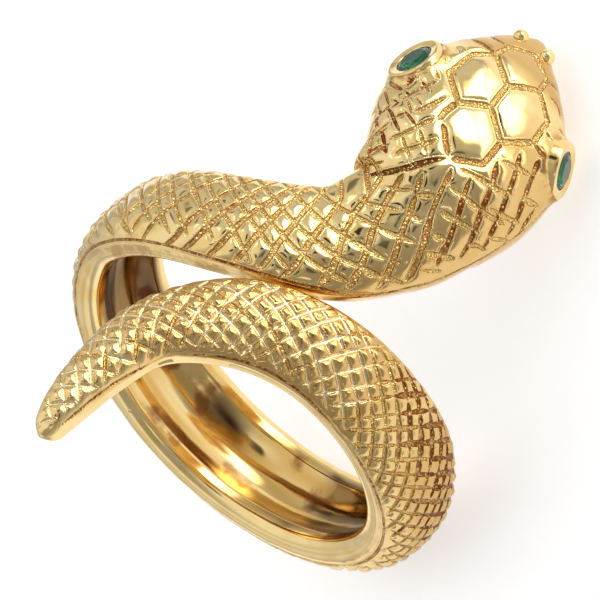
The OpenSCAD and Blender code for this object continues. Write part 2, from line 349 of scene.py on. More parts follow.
JAW_LINES = read_lines("""
78.1,-2.55 78.6,-2.2 79.2,-1.75 79.85,-1.45
78.5,-3.4 79.1,-3.05 79.9,-2.6 80.85,-2.1
80.6,-3.2 81.2,-2.8 81.8,-2.35 82.3,-2.0
81.4,-4.1 82.0,-3.6 82.5,-3.1 82.9,-2.8
82.2,-4.2 83.0,-3.7 83.3,-3.3
79.0,-1.4 79.4,-2.0 79.8,-2.4
78.3,-1.8 78.6,-2.4 79.0,-2.9
78.0,-2.9 78.3,-3.5 78.9,-4.2
79.2,-3.2 79.6,-3.8 80.1,-4.3 80.5,-4.8
80.5,-3.3 81.0,-3.5 81.5,-3.9
79.2,-4.7 79.8,-5.4
80.1,-5.0 80.4,-5.4
80.9,-4.8 81.5,-5.1 82.1,-5.6
82.0,-4.3 82.2,-5.0 82.4,-5.5
77.2,-3.3 77.9,-4.0 78.6,-4.7
76.6,-2.4 77.1,-3.0 77.6,-3.7
77.0,-3.9 77.8,-3.5 78.4,-3.2
76.2,-3.4 76.9,-3.1 77.6,-2.7
77.9,-4.9 78.8,-4.5 79.6,-4.1
79.4,-5.5 80.0,-5.1 80.9,-4.7
79.9,-2.7 80.2,-3.2 80.5,-3.7
79.9,-4.0 80.4,-3.6
78.5,-4.4 79.2,-4.0
80.5,-4.6 81.2,-4.2
77.8,-3.9 78.3,-3.4
81.3,-2.9 81.7,-3.4
82.2,-2.9 82.6,-3.5
83.6,-3.4 84.0,-4.1 84.2,-4.9
84.6,-3.1 85.1,-3.6 85.3,-4.2
83.4,-4.6 84.2,-4.3 85.2,-3.8""")
NECK_LINES = read_lines("""
63.5,2.3 63.8,1.2 64.1,0.0 64.4,-1.0
64.5,2.6 64.9,1.1 65.3,-0.4
65.3,3.0 65.7,1.9 66.0,0.9 66.5,-0.4
66.6,3.0 67.05,2.6 67.3,1.7 67.55,0.76 67.85,-0.17
67.5,3.04 67.85,2.6 68.1,1.95 68.3,1.3 68.6,0.36 69.0,-0.43
68.6,3.0 68.9,2.5 69.2,1.7 69.44,0.76 69.8,-0.1 70.2,-0.83 70.8,-1.9
69.7,2.9 70.0,2.2 70.2,1.36 70.6,0.23 70.9,-0.56 71.3,-1.36
70.7,2.95 71.0,2.1 71.2,1.16 71.6,0.1 72.0,-0.96 72.6,-1.9
71.55,3.0 71.95,2.3 72.2,1.4 72.5,0.5 72.9,-0.3 73.4,-1.1 74.0,-1.6
72.9,3.0 73.15,2.3 73.35,1.5 73.65,0.3 74.2,-0.5 74.8,-1.0 75.45,-1.4
74.0,-0.3 74.4,-0.75 75.1,-1.2 75.9,-1.7 76.4,-2.1""")
NECK_CROSSES = read_lines("""
64.0,2.1 63.4,1.5 62.5,0.5 61.5,-0.3
65.5,1.9 64.3,1.1 63.8,0.5 63.1,0.0 62.1,-1.1
66.8,2.4 65.5,1.1 64.8,0.4 64.0,-0.4 63.0,-1.5
67.6,2.2 66.7,1.3 65.9,0.5 65.0,-0.5
68.7,2.1 68.2,1.5 67.65,0.7 66.9,0.0
70.3,2.6 69.9,2.1 69.3,1.3 68.3,0.3
71.8,2.5 71.0,1.7 70.4,1.1 69.3,0.0
73.7,2.7 73.0,2.1 72.0,1.5 71.4,1.0 70.3,0.0
74.7,2.6 74.0,1.9 73.3,1.4 72.9,1.0 72.2,0.5 71.6,0.0
75.0,1.9 74.4,1.2 73.7,0.35 73.0,-0.2
75.3,0.6 74.9,0.0 74.4,-0.6""")
PITS = read_lines("""
85.0,-2.7 85.06,-2.66
81.8,-4.0 81.9,-3.93
81.2,-4.5 81.3,-4.45
82.5,4.3 82.56,4.35
82.0,4.4 82.06,4.44""")


class Lattice:
    """Every cut line of the back, drawn where the head is plain to see and by rule along the body."""

    # arc of the line between the scaled back and the rim, by run along the body
    BORDER_RUN = (0, 0.4, 1.5, 3, 5, 6.4, 8.5, 14, 15, 16.5, 18, 19, 20, 31, 60, 73, 74, 75, 76, 77, 77.7,
                  79, 80, 80.5, 81.2, 84, 87)
    BORDER_ARC = (0.55, 0.6, 1.0, 1.35, 1.8, 2.2, 2.33, 2.33, 2.4, 2.5, 2.7, 2.8, 2.88, 2.95, 2.95, 3.05,
                  3.45, 3.7, 3.85, 4.1, 4.7, 4.9, 5.2, 5.4, 5.7, 6.2, 5.0)
    # the parts that this line is cut in, from the tail on: first run, last run and spacing of points
    BORDER_PARTS = ((0.45, 20.5, 0.25), (19.5, 33, 0.4), (32.5, 74.2, 0.5), (73.8, 82.0, 0.3))
    # how much each family of lines slants, in millimetres of run for one of arc
    SLANT_RUN = (0, 7, 9, 16, 18, 26, 30, 60, 64, 76)
    SLANT_BACK = (1.1, 0.95, 0.72, 0.75, 0.8, 0.95, 1.0, 0.6, 0.38, 0.4)
    SLANT_FORTH = (0.6, 0.7, 1.05, 1.1, 1.28, 1.28, 1.25, 1.25, 1.15, 1.1)
    # how far apart its lines are, in millimetres of run
    PITCH_RUN = (0, 8, 14, 20, 30, 60)
    PITCH_BACK = (1.08, 0.95, 0.9, 0.95, 1.02, 1.05)
    PITCH_FORTH = (1.05, 1.02, 1.06, 1.15, 1.2, 1.22)
    # these lines keep within this arc and between these runs, and have a point at each step of arc
    FAMILY_ARC = 3.2
    FAMILY_RUNS = (-0.2, 66)
    FAMILY_STEP = 0.2
    # a stroke of the graver takes from the first of these numbers of points to just under the second,
    # and the last one on a line takes up to LAST_POINTS more, so that no short end is left
    STROKE_POINTS = (5, 13)
    LAST_POINTS = 3
    # how wide the strokes are, how much stain they hold and how dark it is, by run
    WIDTH_RUN = (0, 12, 20, 60, 66)
    WIDTH = (0.85, 0.95, 1.0, 1.1, 1.2)
    STAIN_RUN = (0, 13, 17, 22, 29, 40, 60, 66, 72)
    STAIN_AMOUNT = (0.03, 0.04, 0.08, 0.16, 0.3, 0.3, 0.1, 0.14, 0.16)
    DARK_RUN = (16, 22, 29, 36)
    DARK_AMOUNT = (0.0, 0.25, 0.5, 0.1)
    # this in place of a stain's darkness marks a polished cut with no grain in it; its floor is painted
    # paler as painted highlight
    CLEAN = -1.0
    # spacing of the points kept along a stroke and of the changes in its width, and its thinnest share
    SAMPLE_MM = 0.035
    WANDER_MM = 0.45
    THINNEST = 0.12

    def __init__(self, seed: int = 11) -> None:
        """Draw all the lines.

        Args:
            seed: Fixes the small differences between one cut and the next.
        """
        self.rng = np.random.default_rng(seed)
        self.strokes: list[Stroke] = []
        self._body_family(self.SLANT_BACK, self.PITCH_BACK, way=-1, start=0.9, stop=63.0)
        self._body_family(self.SLANT_FORTH, self.PITCH_FORTH, way=1, start=0.45, stop=61.2)
        self._drawn()
        self._borders()

    def border(self, run: np.ndarray) -> np.ndarray:
        """Arc of the border line at this run along the body."""
        return np.interp(run, self.BORDER_RUN, self.BORDER_ARC)

    def stain_at(self, run: float, arc: float) -> Stain:
        """What a line on the body has gathered, by where it is.

        Args:
            run: Where along the body, in millimetres.
            arc: Where across it, in millimetres from the crest.

        Returns:
            The stain, which differs a little from one line to the next.
        """
        amount = float(np.interp(run, self.STAIN_RUN, self.STAIN_AMOUNT))
        # the lower side of the second band is the dirtiest
        if 19 < run < 33:
            amount += 0.6 * float(smooth_step(0.8, -0.9, arc))
        if 23 < run < 36:
            amount += 0.35 * float(smooth_step(2.4, 0.6, arc))
        if arc < -0.4 and run > 60:
            amount *= 0.5
        # one in five of the strokes near the tail holds more than the others
        if run < 17 and self.rng.uniform() < 0.2:
            amount += 0.12
        dark = self.CLEAN
        if amount > 0.1:
            dark = float(np.interp(run, self.DARK_RUN, self.DARK_AMOUNT))
        return Stain(amount * self.rng.uniform(0.7, 1.2), self.rng.uniform(0.0, 0.3), dark)

    def _body_family(self, slant: tuple, pitch: tuple, way: int, start: float, stop: float) -> None:
        """Cut one family of parallel lines along the body.

        Args:
            slant: The family's slant at each run in SLANT_RUN.
            pitch: Its spacing at each run in PITCH_RUN.
            way: 1 where the run grows with the arc, or -1.
            start: Where the first line crosses the crest.
            stop: Where the last one does.
        """
        at = start
        while at < stop:
            crest = at + self.rng.uniform(-0.07, 0.07)
            rows = [self._half_line(crest, slant, way, side) for side in (-1, 1)]
            line = np.array(rows[0][::-1] + rows[1][1:])
            if len(line) > 2:
                self._cut_in_parts(line)
            at += float(np.interp(at, self.PITCH_RUN, pitch)) * self.rng.uniform(0.95, 1.05)

    def _half_line(self, run: float, slant: tuple, way: int, side: int) -> list[tuple[float, float]]:
        """Follow a line from the crest until it nears the border.

        Args:
            run: Where it crosses the crest.
            slant: The family's slant at each run in SLANT_RUN.
            way: 1 where the run grows with the arc, or -1.
            side: The side of the crest that it goes down, 1 or -1.

        Returns:
            The line's points from the crest on.
        """
        arc, points = 0.0, []
        lean = 1 + self.rng.uniform(-0.05, 0.05)
        first, last = self.FAMILY_RUNS
        while abs(arc) < self.FAMILY_ARC and first < run < last:
            points.append((run, arc))
            step = self.FAMILY_STEP * side
            run += way * lean * float(np.interp(run, self.SLANT_RUN, slant)) * step
            arc += step
            if abs(arc) > float(self.border(run)) - self.rng.uniform(0.04, 0.3):
                break
        return points

    def _cut_in_parts(self, line: np.ndarray) -> None:
        """Cut a long line as a graver does, in strokes of uneven width that nearly meet.

        Args:
            line: The line's points.
        """
        total = len(line)
        begin = 0
        while begin < total - 2:
            end = min(total, begin + int(self.rng.integers(*self.STROKE_POINTS)))
            if total - end <= self.LAST_POINTS:
                end = total
            part = line[begin:end]
            run, arc = part[len(part) // 2]
            # the cuts on the lower side of the second band are the widest
            side = float(smooth_step(1.8, -0.8, arc)) if 20 < run < 35 else 0.0
            width = float(np.interp(run, self.WIDTH_RUN, self.WIDTH))
            half = (1 + 0.7 * side) * self.rng.uniform(0.06, 0.095) * width
            self.strokes.append(Stroke(part, half, self.stain_at(run, arc), wander=0.25, taper=0.5))
            begin = end - 1

    def _extended(self, line: np.ndarray, slant: float) -> np.ndarray:
        """Carry a drawn line on over the far side of the neck, as far as the border.

        Args:
            line: The points that are drawn.
            slant: How far the line runs on for one millimetre of arc.

        Returns:
            The points of the whole line.
        """
        run, arc = line[-1]
        step = 0.25
        more = []
        while arc > -float(self.border(run)) + step:
            run, arc = run + slant * step, arc - step
            more.append((run, arc))
        return np.vstack((line, more)) if more else line

    def _drawn(self) -> None:
        """Cut the lines of the head and the neck."""
        for line in NECK_LINES:
            stain = Stain(0.22 * self.rng.uniform(0.4, 1.6), red=0.2)
            self.strokes.append(Stroke(self._extended(line, 0.45), 0.105, stain, wander=0.2))
        for line in NECK_CROSSES:
            self.strokes.append(Stroke(self._extended(line, -1.1), 0.085, Stain(0.08, red=0.2), wander=0.3))
        for k, line in enumerate(HEAD_LINES):
            stain = Stain(0.3, red=0.15) if k < 3 else Stain(0.55, red=0.35, dark=0.1)
            self.strokes.append(Stroke(line, 0.12, stain, wander=0.2))
        for line in HEAD_CROSSES:
            self.strokes.append(Stroke(line, 0.085, Stain(0.08, red=0.3), wander=0.3))
        for line in JAW_LINES:
            high_up = line[:, 1].mean() > -3.1
            stain = Stain(0.22, red=0.4) if high_up else Stain(self.rng.uniform(0.3, 0.65), red=1.0)
            self.strokes.append(Stroke(line, 0.08, stain, wander=0.3))
        for line in PLATE_LINES:
            stain = Stain(0.12 if line[0, 0] > 82.9 else 0.24, red=0.3)
            self.strokes.append(Stroke(line, 0.135, stain, wander=0.12, round_corners=False, taper=0.16))
        for line in SNOUT_LINES:
            self.strokes.append(Stroke(line, 0.08, Stain(0.35, red=0.5), wander=0.2))
        for line in MID_LINE:
            self.strokes.append(Stroke(line, 0.15, Stain(0.75, red=0.35, dark=0.4), wander=0.2, taper=0.9))
        for line in PITS:
            stain = Stain(1.0, red=0.8, dark=0.1)
            self.strokes.append(Stroke(line, 0.15, stain, round_corners=False, taper=0.01))

    def _borders(self) -> None:
        """Cut the line between the scaled back and the rim, on both sides."""
        for side in (-1, 1):
            for k, (first, last, spacing) in enumerate(self.BORDER_PARTS):
                run = np.arange(first, last, spacing)
                half, shift, stain = 0.06, 0.0, Stain(0.5, red=0.5)
                if k == 0:
                    half, shift, stain = 0.07, 0.12, Stain(0.6, red=0.3)
                points = np.stack((run, side * (self.border(run) + shift)), -1)
                self.strokes.append(Stroke(points, half, stain, wander=0.1, taper=1.2))

    def samples(self) -> dict[str, np.ndarray]:
        """Points along every stroke with the half width and the stain there.

        Returns:
            The points as (run, arc, 0), the half widths and the stains, each by its name.
        """
        places, halves, stains = [], [], []
        for stroke in self.strokes:
            points = stroke.smoothed()
            run = np.concatenate(([0.0], np.cumsum(np.linalg.norm(np.diff(points, axis=0), axis=1))))
            count = max(3, int(run[-1] / self.SAMPLE_MM) + 1)
            at = np.linspace(0, run[-1], count)
            line = np.stack([np.interp(at, run, points[:, c]) for c in (0, 1)], -1)
            from_end = np.minimum(at, run[-1] - at)
            taper = np.clip(from_end / stroke.taper, 0.0, 1.0) ** 0.6
            knots = self.rng.uniform(-1, 1, max(3, int(run[-1] / self.WANDER_MM) + 2))
            wave = np.interp(at, np.linspace(0, run[-1], len(knots)), knots)
            places.append(np.column_stack((line, np.zeros(count))))
            halves.append(stroke.half * (1 + stroke.wander * wave) * np.maximum(taper, self.THINNEST))
            mark = (stroke.stain.amount, stroke.stain.red, stroke.stain.dark)
            uneven = 1 + 0.25 * wave[:, None] * np.array((1, 0, 0))
            stains.append(np.tile(mark, (count, 1)) * uneven)
        return {"place": np.vstack(places), "half": np.concatenate(halves), "stain": np.vstack(stains)}


@dataclass(frozen=True)
class Seat:
    """Where an eye sits: its middle and the way it faces, in the ring's own axes."""
    x: float
    turn: float
    radius: float
    faces: tuple[float, float, float]

    def axes(self) -> tuple[np.ndarray, np.ndarray]:
        """Work out the seat's place.

        Returns:
            Its middle, and its own three axes as rows with the last one facing out.
        """
        turn = math.radians(self.turn)
        middle = np.array((self.x, self.radius * math.sin(turn), self.radius * math.cos(turn)))
        out = np.array(self.faces) / np.linalg.norm(self.faces)
        side = np.cross((0.0, 0.0, 1.0), out)
        side /= np.linalg.norm(side)
        return middle, np.stack((side, np.cross(out, side), out))


class Eye(Enum):
    """The two eyes, by the side of the head that carries them."""
    LEFT = Seat(-11.88, -31, 11.79, (0.04, -0.91, 0.42))
    RIGHT = Seat(-13.12, 11.5, 11.55, (-0.36, 0.79, 0.49))


class Zone(Enum):
    """The three finishes of the one casting."""
    BACK = 0
    RIM = 1
    BORE = 2


@dataclass
class SnakeBody:
    """The casting: its scaled back, the smooth rim, and the lips and channel inside.

    Sizes are in millimetres. The mesh is coarser between the inner two of coarse_runs. The bezel's
    reach is how far below and above a seat the body is shaped to it. The channel's half is how far
    across it tarnish reaches.
    """
    path: SnakePath
    lattice: Lattice
    fine_step: float = 0.078
    coarse_step: float = 0.12
    coarse_runs: tuple[float, float, float, float] = (29, 33, 57, 61)
    inside_every: int = 3
    outline_points: int = 241
    rim_points: int = 8
    lip_w: float = 0.9
    least_wall: float = 0.2
    edge_r: float = 0.5
    channel_half: float = 1.95
    bezel_r: float = 1.48
    bezel_reach: tuple[float, float] = (-2.4, 1.2)
    pocket_r: float = 1.36
    pocket_depth: float = 1.25
    solder_rise: float = 0.2
    solder_spread: float = 0.2
    tip_round: float = 0.75
    tip_middle_r: float = 9.25
    tip_least: float = 0.25
    plate_crown: float = 0.085
    plate_reach: float = 1.2
    plate_fade: float = 0.5
    groove_depth: float = 0.115
    scale_rise: float = 0.12
    unevenness: float = 0.055
    seed: int = 5
    points: list = field(default_factory=list)
    flats: list = field(default_factory=list)
    edges: list = field(default_factory=list)
    faces: list = field(default_factory=list)
    zones: list = field(default_factory=list)

    def step(self, run: float) -> float:
        """Spacing of the mesh at this run along the body."""
        spacings = (self.fine_step, self.coarse_step, self.coarse_step, self.fine_step)
        return float(np.interp(run, self.coarse_runs, spacings))

    def build(self) -> bpy.types.Object:
        """Make the smooth body, before its lines are cut.

        Returns:
            The body's object, with the values that the cutting reads.
        """
        runs = [0.0]
        while runs[-1] < self.path.run[-1] - 0.05:
            runs.append(runs[-1] + self.step(runs[-1]))
        runs[-1] = float(self.path.run[-1])
        back = [self._back_row(run) for run in runs]
        for a, b in zip(back, back[1:]):
            self._zip(a[0], a[1], b[0], b[1], Zone.BACK)
        picks = sorted(set(range(0, len(runs), self.inside_every)) | {len(runs) - 1})
        inner_runs = [runs[k] for k in picks]
        inner = [self._inside_row(run) for run in inner_runs]
        width = len(inner[0])
        for a, b in zip(inner, inner[1:]):
            for k in range(width - 1):
                on_rim = k < self.rim_points or k >= width - 1 - self.rim_points
                zone = Zone.RIM if on_rim else Zone.BORE
                self._face((a[k], b[k], b[k + 1]), zone)
                self._face((a[k], b[k + 1], a[k + 1]), zone)
        self._zip([row[0] for row in inner], inner_runs, [row[0][-1] for row in back], runs, Zone.RIM)
        self._zip([row[0][0] for row in back], runs, [row[-1] for row in inner], inner_runs, Zone.RIM)
        self._cap(back[0][0] + inner[0], 0.0, True)
        self._cap(back[-1][0] + inner[-1], runs[-1], False)
        return self._object()

    def _add(self, run: float, v: np.ndarray, r: np.ndarray, arc: np.ndarray) -> list[int]:
        """Add a row of points. The rows near the tail's tip draw in to round it.

        Args:
            run: Where along the body the row lies.
            v: How far across the body each point is.
            r: How far from the finger's axis it is.
            arc: Its arc from the crest, or for the inside how far across the body it is.

        Returns:
            The points' numbers.
        """
        first = sum(len(p) for p in self.points)
        t = np.full(len(v), float(self.path.t_of(run)))
        before_round = 1 - min(run / self.tip_round, 1.0)
        draw = max(self.tip_least, math.sqrt(max(0.0, 1 - before_round ** 2)))
        v, r = v * draw, self.tip_middle_r + (r - self.tip_middle_r) * draw
        self.points.append(self.path.place(t, v, r))
        self.flats.append(np.column_stack((np.full(len(v), run), arc, np.zeros(len(v)))))
        self.edges.append(np.minimum(arc - arc.min(), arc.max() - arc))
        return list(range(first, first + len(v)))

    def _back_row(self, run: float) -> tuple[list[int], list[float]]:
        """One row of points over the back, evenly spaced along its arc.

        Args:
            run: Where along the body, in millimetres.

        Returns:
            The row's point numbers and their arcs from the crest.
        """
        t = float(self.path.t_of(run))
        s = self.path.at(t)
        f = np.linspace(-np.pi / 2, np.pi / 2, self.outline_points)
        v = s[HALF] * np.sign(np.sin(f)) * np.abs(np.sin(f)) ** (2 / BACK_POWER)
        r = s[SHOULDER] + (s[CREST] - s[SHOULDER]) * np.abs(np.cos(f)) ** (2 / BACK_POWER)
        line = self.path.place(np.full(len(v), t), v, r)
        arc = np.concatenate(([0.0], np.cumsum(np.linalg.norm(np.diff(line, axis=0), axis=1))))
        arc -= arc[self.outline_points // 2]
        gap = self.step(run)
        # the last gap at each foot is at least this share of the others
        least = 0.4
        inner = np.arange(math.ceil(arc[0] / gap + least), math.floor(arc[-1] / gap - least) + 1) * gap
        wanted = np.concatenate(([arc[0]], inner, [arc[-1]]))
        return self._add(run, np.interp(wanted, arc, v), np.interp(wanted, arc, r), wanted), list(wanted)

    def _inside_row(self, run: float) -> list[int]:
        """One row of points from the back's foot down the rim, round the lips and across the channel.

        Args:
            run: Where along the body, in millimetres.

        Returns:
            The row's point numbers.
        """
        s = self.path.at(float(self.path.t_of(run)))
        w, shoulder = s[HALF], s[SHOULDER]
        lip = w - min(self.lip_w, 0.5 * w)
        low = min(BORE_R, shoulder - self.least_wall)
        tall = shoulder - low
        # the upright wall of the rim, and its inner edge, which is rounded to this radius
        soft = min(self.edge_r, 0.5 * tall, 0.6 * (w - lip))
        side = [(w, shoulder - 0.12 * tall), (w, shoulder - 0.4 * tall), (w, low + soft + 0.1 * tall)]
        for turn in np.radians((0, 20, 40, 60, 80)):
            side.append((w - soft * (1 - math.cos(turn)), low + soft * (1 - math.sin(turn))))
        side += [(w - soft - 0.04, low), (lip + 0.08, low)]
        # the channel, steep beside the lips and nearly level across its middle
        rise = max(s[HOLLOW], 0.0)
        for u in (1.0, 0.95, 0.9, 0.82, 0.72, 0.6, 0.44, 0.22):
            side.append((lip * u, low + 0.006 + rise * (1 - u ** 2.2) ** 1.25))
        full = side + [(0.0, low + 0.012 + rise)] + [(-v, r) for v, r in side[::-1]]
        v, r = np.array(full).T
        return self._add(run, v, r, v)

    def _face(self, corners: tuple, zone: Zone) -> None:
        """Add one triangle."""
        self.faces.append(corners)
        self.zones.append(zone.value)

    def _zip(self, a: list, at_a: list, b: list, at_b: list, zone: Zone) -> None:
        """Fill the strip between two rows of points with triangles.

        Args:
            a: Point numbers of the first row.
            at_a: How far along each of them lies.
            b: Point numbers of the second row.
            at_b: How far along each of those lies.
            zone: The finish of the strip.
        """
        i = j = 0
        while i < len(a) - 1 or j < len(b) - 1:
            if j == len(b) - 1 or (i < len(a) - 1 and at_a[i + 1] <= at_b[j + 1]):
                self._face((a[i], b[j], a[i + 1]), zone)
                i += 1
            else:
                self._face((a[i], b[j], b[j + 1]), zone)
                j += 1

    def _cap(self, loop: list, run: float, first: bool) -> None:
        """Close an end of the body round its middle.

        Args:
            loop: Point numbers round the end.
            run: Where along the body the end is.
            first: Whether it is the tail's end.
        """
        pts = np.vstack(self.points)[loop]
        middle = sum(len(p) for p in self.points)
        self.points.append(pts.mean(axis=0, keepdims=True))
        self.flats.append(np.array(((run, 0.0, 0.0),)))
        self.edges.append(np.zeros(1))
        for a, b in zip(loop, loop[1:] + loop[:1]):
            self._face((middle, a, b) if first else (middle, b, a), Zone.RIM)

    def _object(self) -> bpy.types.Object:
        """Turn the points and faces into an object, shaped to the eyes and carrying its values.

        Returns:
            The body's object.
        """
        pts, flat = np.vstack(self.points), np.vstack(self.flats)
        faces = np.array(self.faces)
        run, arc = flat[:, 0], flat[:, 1]
        back = np.zeros(len(pts), bool)
        back[faces[np.array(self.zones) == Zone.BACK.value].ravel()] = True
        # the lines fade out over this distance from the back's foot
        fade = 0.2
        carve = np.where(back, smooth_step(0.0, fade, np.concatenate(self.edges)), 0.0)
        outward = pts * np.array((0, 1, 1)) / np.linalg.norm(pts[:, 1:], axis=1, keepdims=True)
        pts = pts - outward * (back * self._crown(flat))[:, None]
        pts, carve, soot = self._fit_eyes(pts, carve)
        # the neck's rim is darker brown in patches on one side, and the channel inside carries painted shade
        # in places
        soot = np.where(~back & (arc > 0), 0.8 * span(run, 60.0, 63.0, 70.0, 74.0), soot)
        soot = np.where(back | (np.abs(arc) > self.channel_half), soot, self._channel_shade(run, arc))
        rise, reach = self._relief(run, arc)
        a, b, c = (pts[faces[:, k]] for k in range(3))
        if np.einsum("ij,ij->i", a, np.cross(b, c)).sum() < 0:
            faces = faces[:, ::-1]
        mesh = bpy.data.meshes.new("snake_body")
        mesh.from_pydata(lie(pts).tolist(), [], faces.tolist())
        mesh.shade_smooth()
        # one of these values is the painted shade that darkens the back's gold
        values = {"flat": flat, "carve": carve, "soot": soot, "film": self._painted_shade(run, arc), "rise": rise,
                  "reach": reach}
        for name, value in values.items():
            self._store(mesh, name, value)
        zone = mesh.attributes.new("zone", "INT", "FACE")
        zone.data.foreach_set("value", np.array(self.zones, np.int32))
        made = bpy.data.objects.new("gold_snake_body", mesh)
        bpy.context.scene.collection.objects.link(made)
        return made

    def _fit_eyes(self, pts: np.ndarray, carve: np.ndarray) -> tuple[np.ndarray, np.ndarray, np.ndarray]:
        """Run a fillet of solder round each bezel and sink a pocket under it.

        Args:
            pts: The body's points.
            carve: How much of their full depth the lines have at each point.

        Returns:
            The points, their carve with the solder left plain, and how brown they are round each bezel's
            foot.
        """
        soot = np.zeros(len(pts))
        low, high = self.bezel_reach
        for eye in Eye:
            middle, axes = eye.value.axes()
            local = (pts - middle) @ axes.T
            across, up = np.hypot(local[:, 0], local[:, 1]), local[:, 2]
            near = (up > low) & (up < high)
            gap = across - self.bezel_r
            round_bezel = near & (gap > -0.1)
            fillet = self.solder_rise * np.exp(-(np.maximum(gap, 0) / self.solder_spread) ** 1.3)
            lift = np.where(round_bezel, fillet, 0.0)
            pts = pts + lift[:, None] * axes[2]
            sunk = near & (across < self.pocket_r)
            depth = np.where(sunk, np.maximum(up + lift + self.pocket_depth, 0.0), 0.0)
            pts = pts - depth[:, None] * axes[2]
            carve = np.where(near, carve * smooth_step(0.05, 0.3, gap), carve)
            # the body is darker brown round each bezel's foot
            soot = np.maximum(soot, np.where(round_bezel, 1 - smooth_step(0.0, 0.34, gap), 0.0))
        return pts, carve, soot

    @staticmethod
    def _painted_shade(run: np.ndarray, arc: np.ndarray) -> np.ndarray:
        """How much painted shade darkens the back's gold, by place.

        Args:
            run: Where along the body each point lies.
            arc: Where across it.

        Returns:
            A share for each point.
        """
        # painted shade: a darker gold over the bands near the tail, the lower side of the second band, one
        # cheek and the snout
        low_band = 0.85 * span(run, 19.0, 24.0, 33.0, 38.0) * smooth_step(2.8, 1.0, arc)
        snout = 0.85 * smooth_step(85.3, 86.3, run)
        cheek = 0.6 * span(run, 70.0, 74.0, 82.5, 84.5) * smooth_step(0.6, 2.4, arc)
        top_band = 0.75 * span(run, 3.0, 8.0, 18.0, 23.0)
        coils = 0.35 * span(run, 0.5, 3.5, 31.0, 37.0)
        return np.maximum.reduce([low_band, snout, cheek, top_band, coils])

    @staticmethod
    def _channel_shade(run: np.ndarray, arc: np.ndarray) -> np.ndarray:
        """How much painted shade darkens the channel inside, as a dark brown in these places.

        Args:
            run: Where along the body each point lies.
            arc: Where across it.

        Returns:
            A share for each point.
        """
        # painted shade: dark brown behind the tail, at the turn, in a slanting oval and along one lip
        behind_tail = 0.85 * span(run, 49.0, 53.0, 60.0, 68.0)
        turn = 0.85 * span(run, 29.0, 31.5, 36.4, 38.8) * smooth_step(1.0, 0.0, arc)
        along = run - 44.6
        shade_oval = 1.1 * np.exp(-(along / 1.5) ** 4 - ((arc + 1.1 + 0.12 * along) / 0.5) ** 2)
        low_lip = 0.6 * span(run, 33.0, 35.0, 38.5, 41.0) * smooth_step(1.4, 1.8, arc)
        return np.maximum.reduce([behind_tail, turn, shade_oval, low_lip])

    @staticmethod
    def _store(mesh: bpy.types.Mesh, name: str, values: np.ndarray) -> None:
        """Keep one number or one vector for every point of the mesh under a name."""
        kind, key = ("FLOAT", "value") if values.ndim == 1 else ("FLOAT_VECTOR", "vector")
        mesh.attributes.new(name, kind, "POINT").data.foreach_set(key, values.astype(np.float32).ravel())

    def _relief(self, run: np.ndarray, arc: np.ndarray) -> tuple[np.ndarray, np.ndarray]:
        """How the scales rise from their edges, which is less on the smooth plates.

        Args:
            run: Where along the body each point lies.
            arc: Where across it.

        Returns:
            How high each scale rises, as a share, and how far in from its edge it keeps rising.
        """
        rise = np.interp(run, (0, 3, 25, 60, 68, 76, 80), (0.7, 1.0, 1.0, 0.85, 0.7, 0.6, 0.5))
        reach = np.interp(run, (0, 25, 60, 68, 76), (0.32, 0.36, 0.38, 0.38, 0.34))
        # the half scales along the border are nearly flat
        border = self.lattice.border(run)
        rise = rise * (1 - 0.85 * smooth_step(border - 0.5, border - 0.05, np.abs(arc)))
        # the front three plates and the one behind them: middle, inner radius and outer radius
        plates = np.zeros(len(run))
        for at_run, at_arc, inner, outer in ((84.2, 0.3, 2.6, 3.3), (80.9, -0.3, 0.9, 1.5)):
            away = np.hypot(run - at_run, arc - at_arc)
            plates = np.maximum(plates, 1 - smooth_step(inner, outer, away))
        return rise * (1 - plates) + 0.6 * plates, reach * (1 - plates) + 0.3 * plates

    def _crown(self, flat: np.ndarray) -> np.ndarray:
        """How far each point sinks below the middle of the smooth plate it is on, or next to.

        Args:
            flat: The points' places on the unrolled back.

        Returns:
            The depths.
        """
        sink = np.zeros(len(flat))
        here = flat[:, :2]
        for shape in PLATE_SHAPES:
            middle = shape.mean(axis=0)
            edge = np.roll(shape, -1, axis=0) - shape
            out = np.stack((edge[:, 1], -edge[:, 0]), -1)
            reach = np.einsum("ij,ij->i", out, shape - middle)
            share = np.maximum(((here - middle) @ out.T) / reach, 0.0)
            # 0 at the plate's middle and 1 at its edge, with blunt corners
            gauge = (share ** 5).sum(axis=1) ** 0.2
            beyond = (gauge - 1) * self.plate_reach / self.plate_fade
            fade = np.where(gauge < 1, np.minimum(gauge, 1) ** 2, np.exp(-(beyond ** 2)))
            sink = np.maximum(sink, fade * (gauge < 3))
        return self.plate_crown * sink

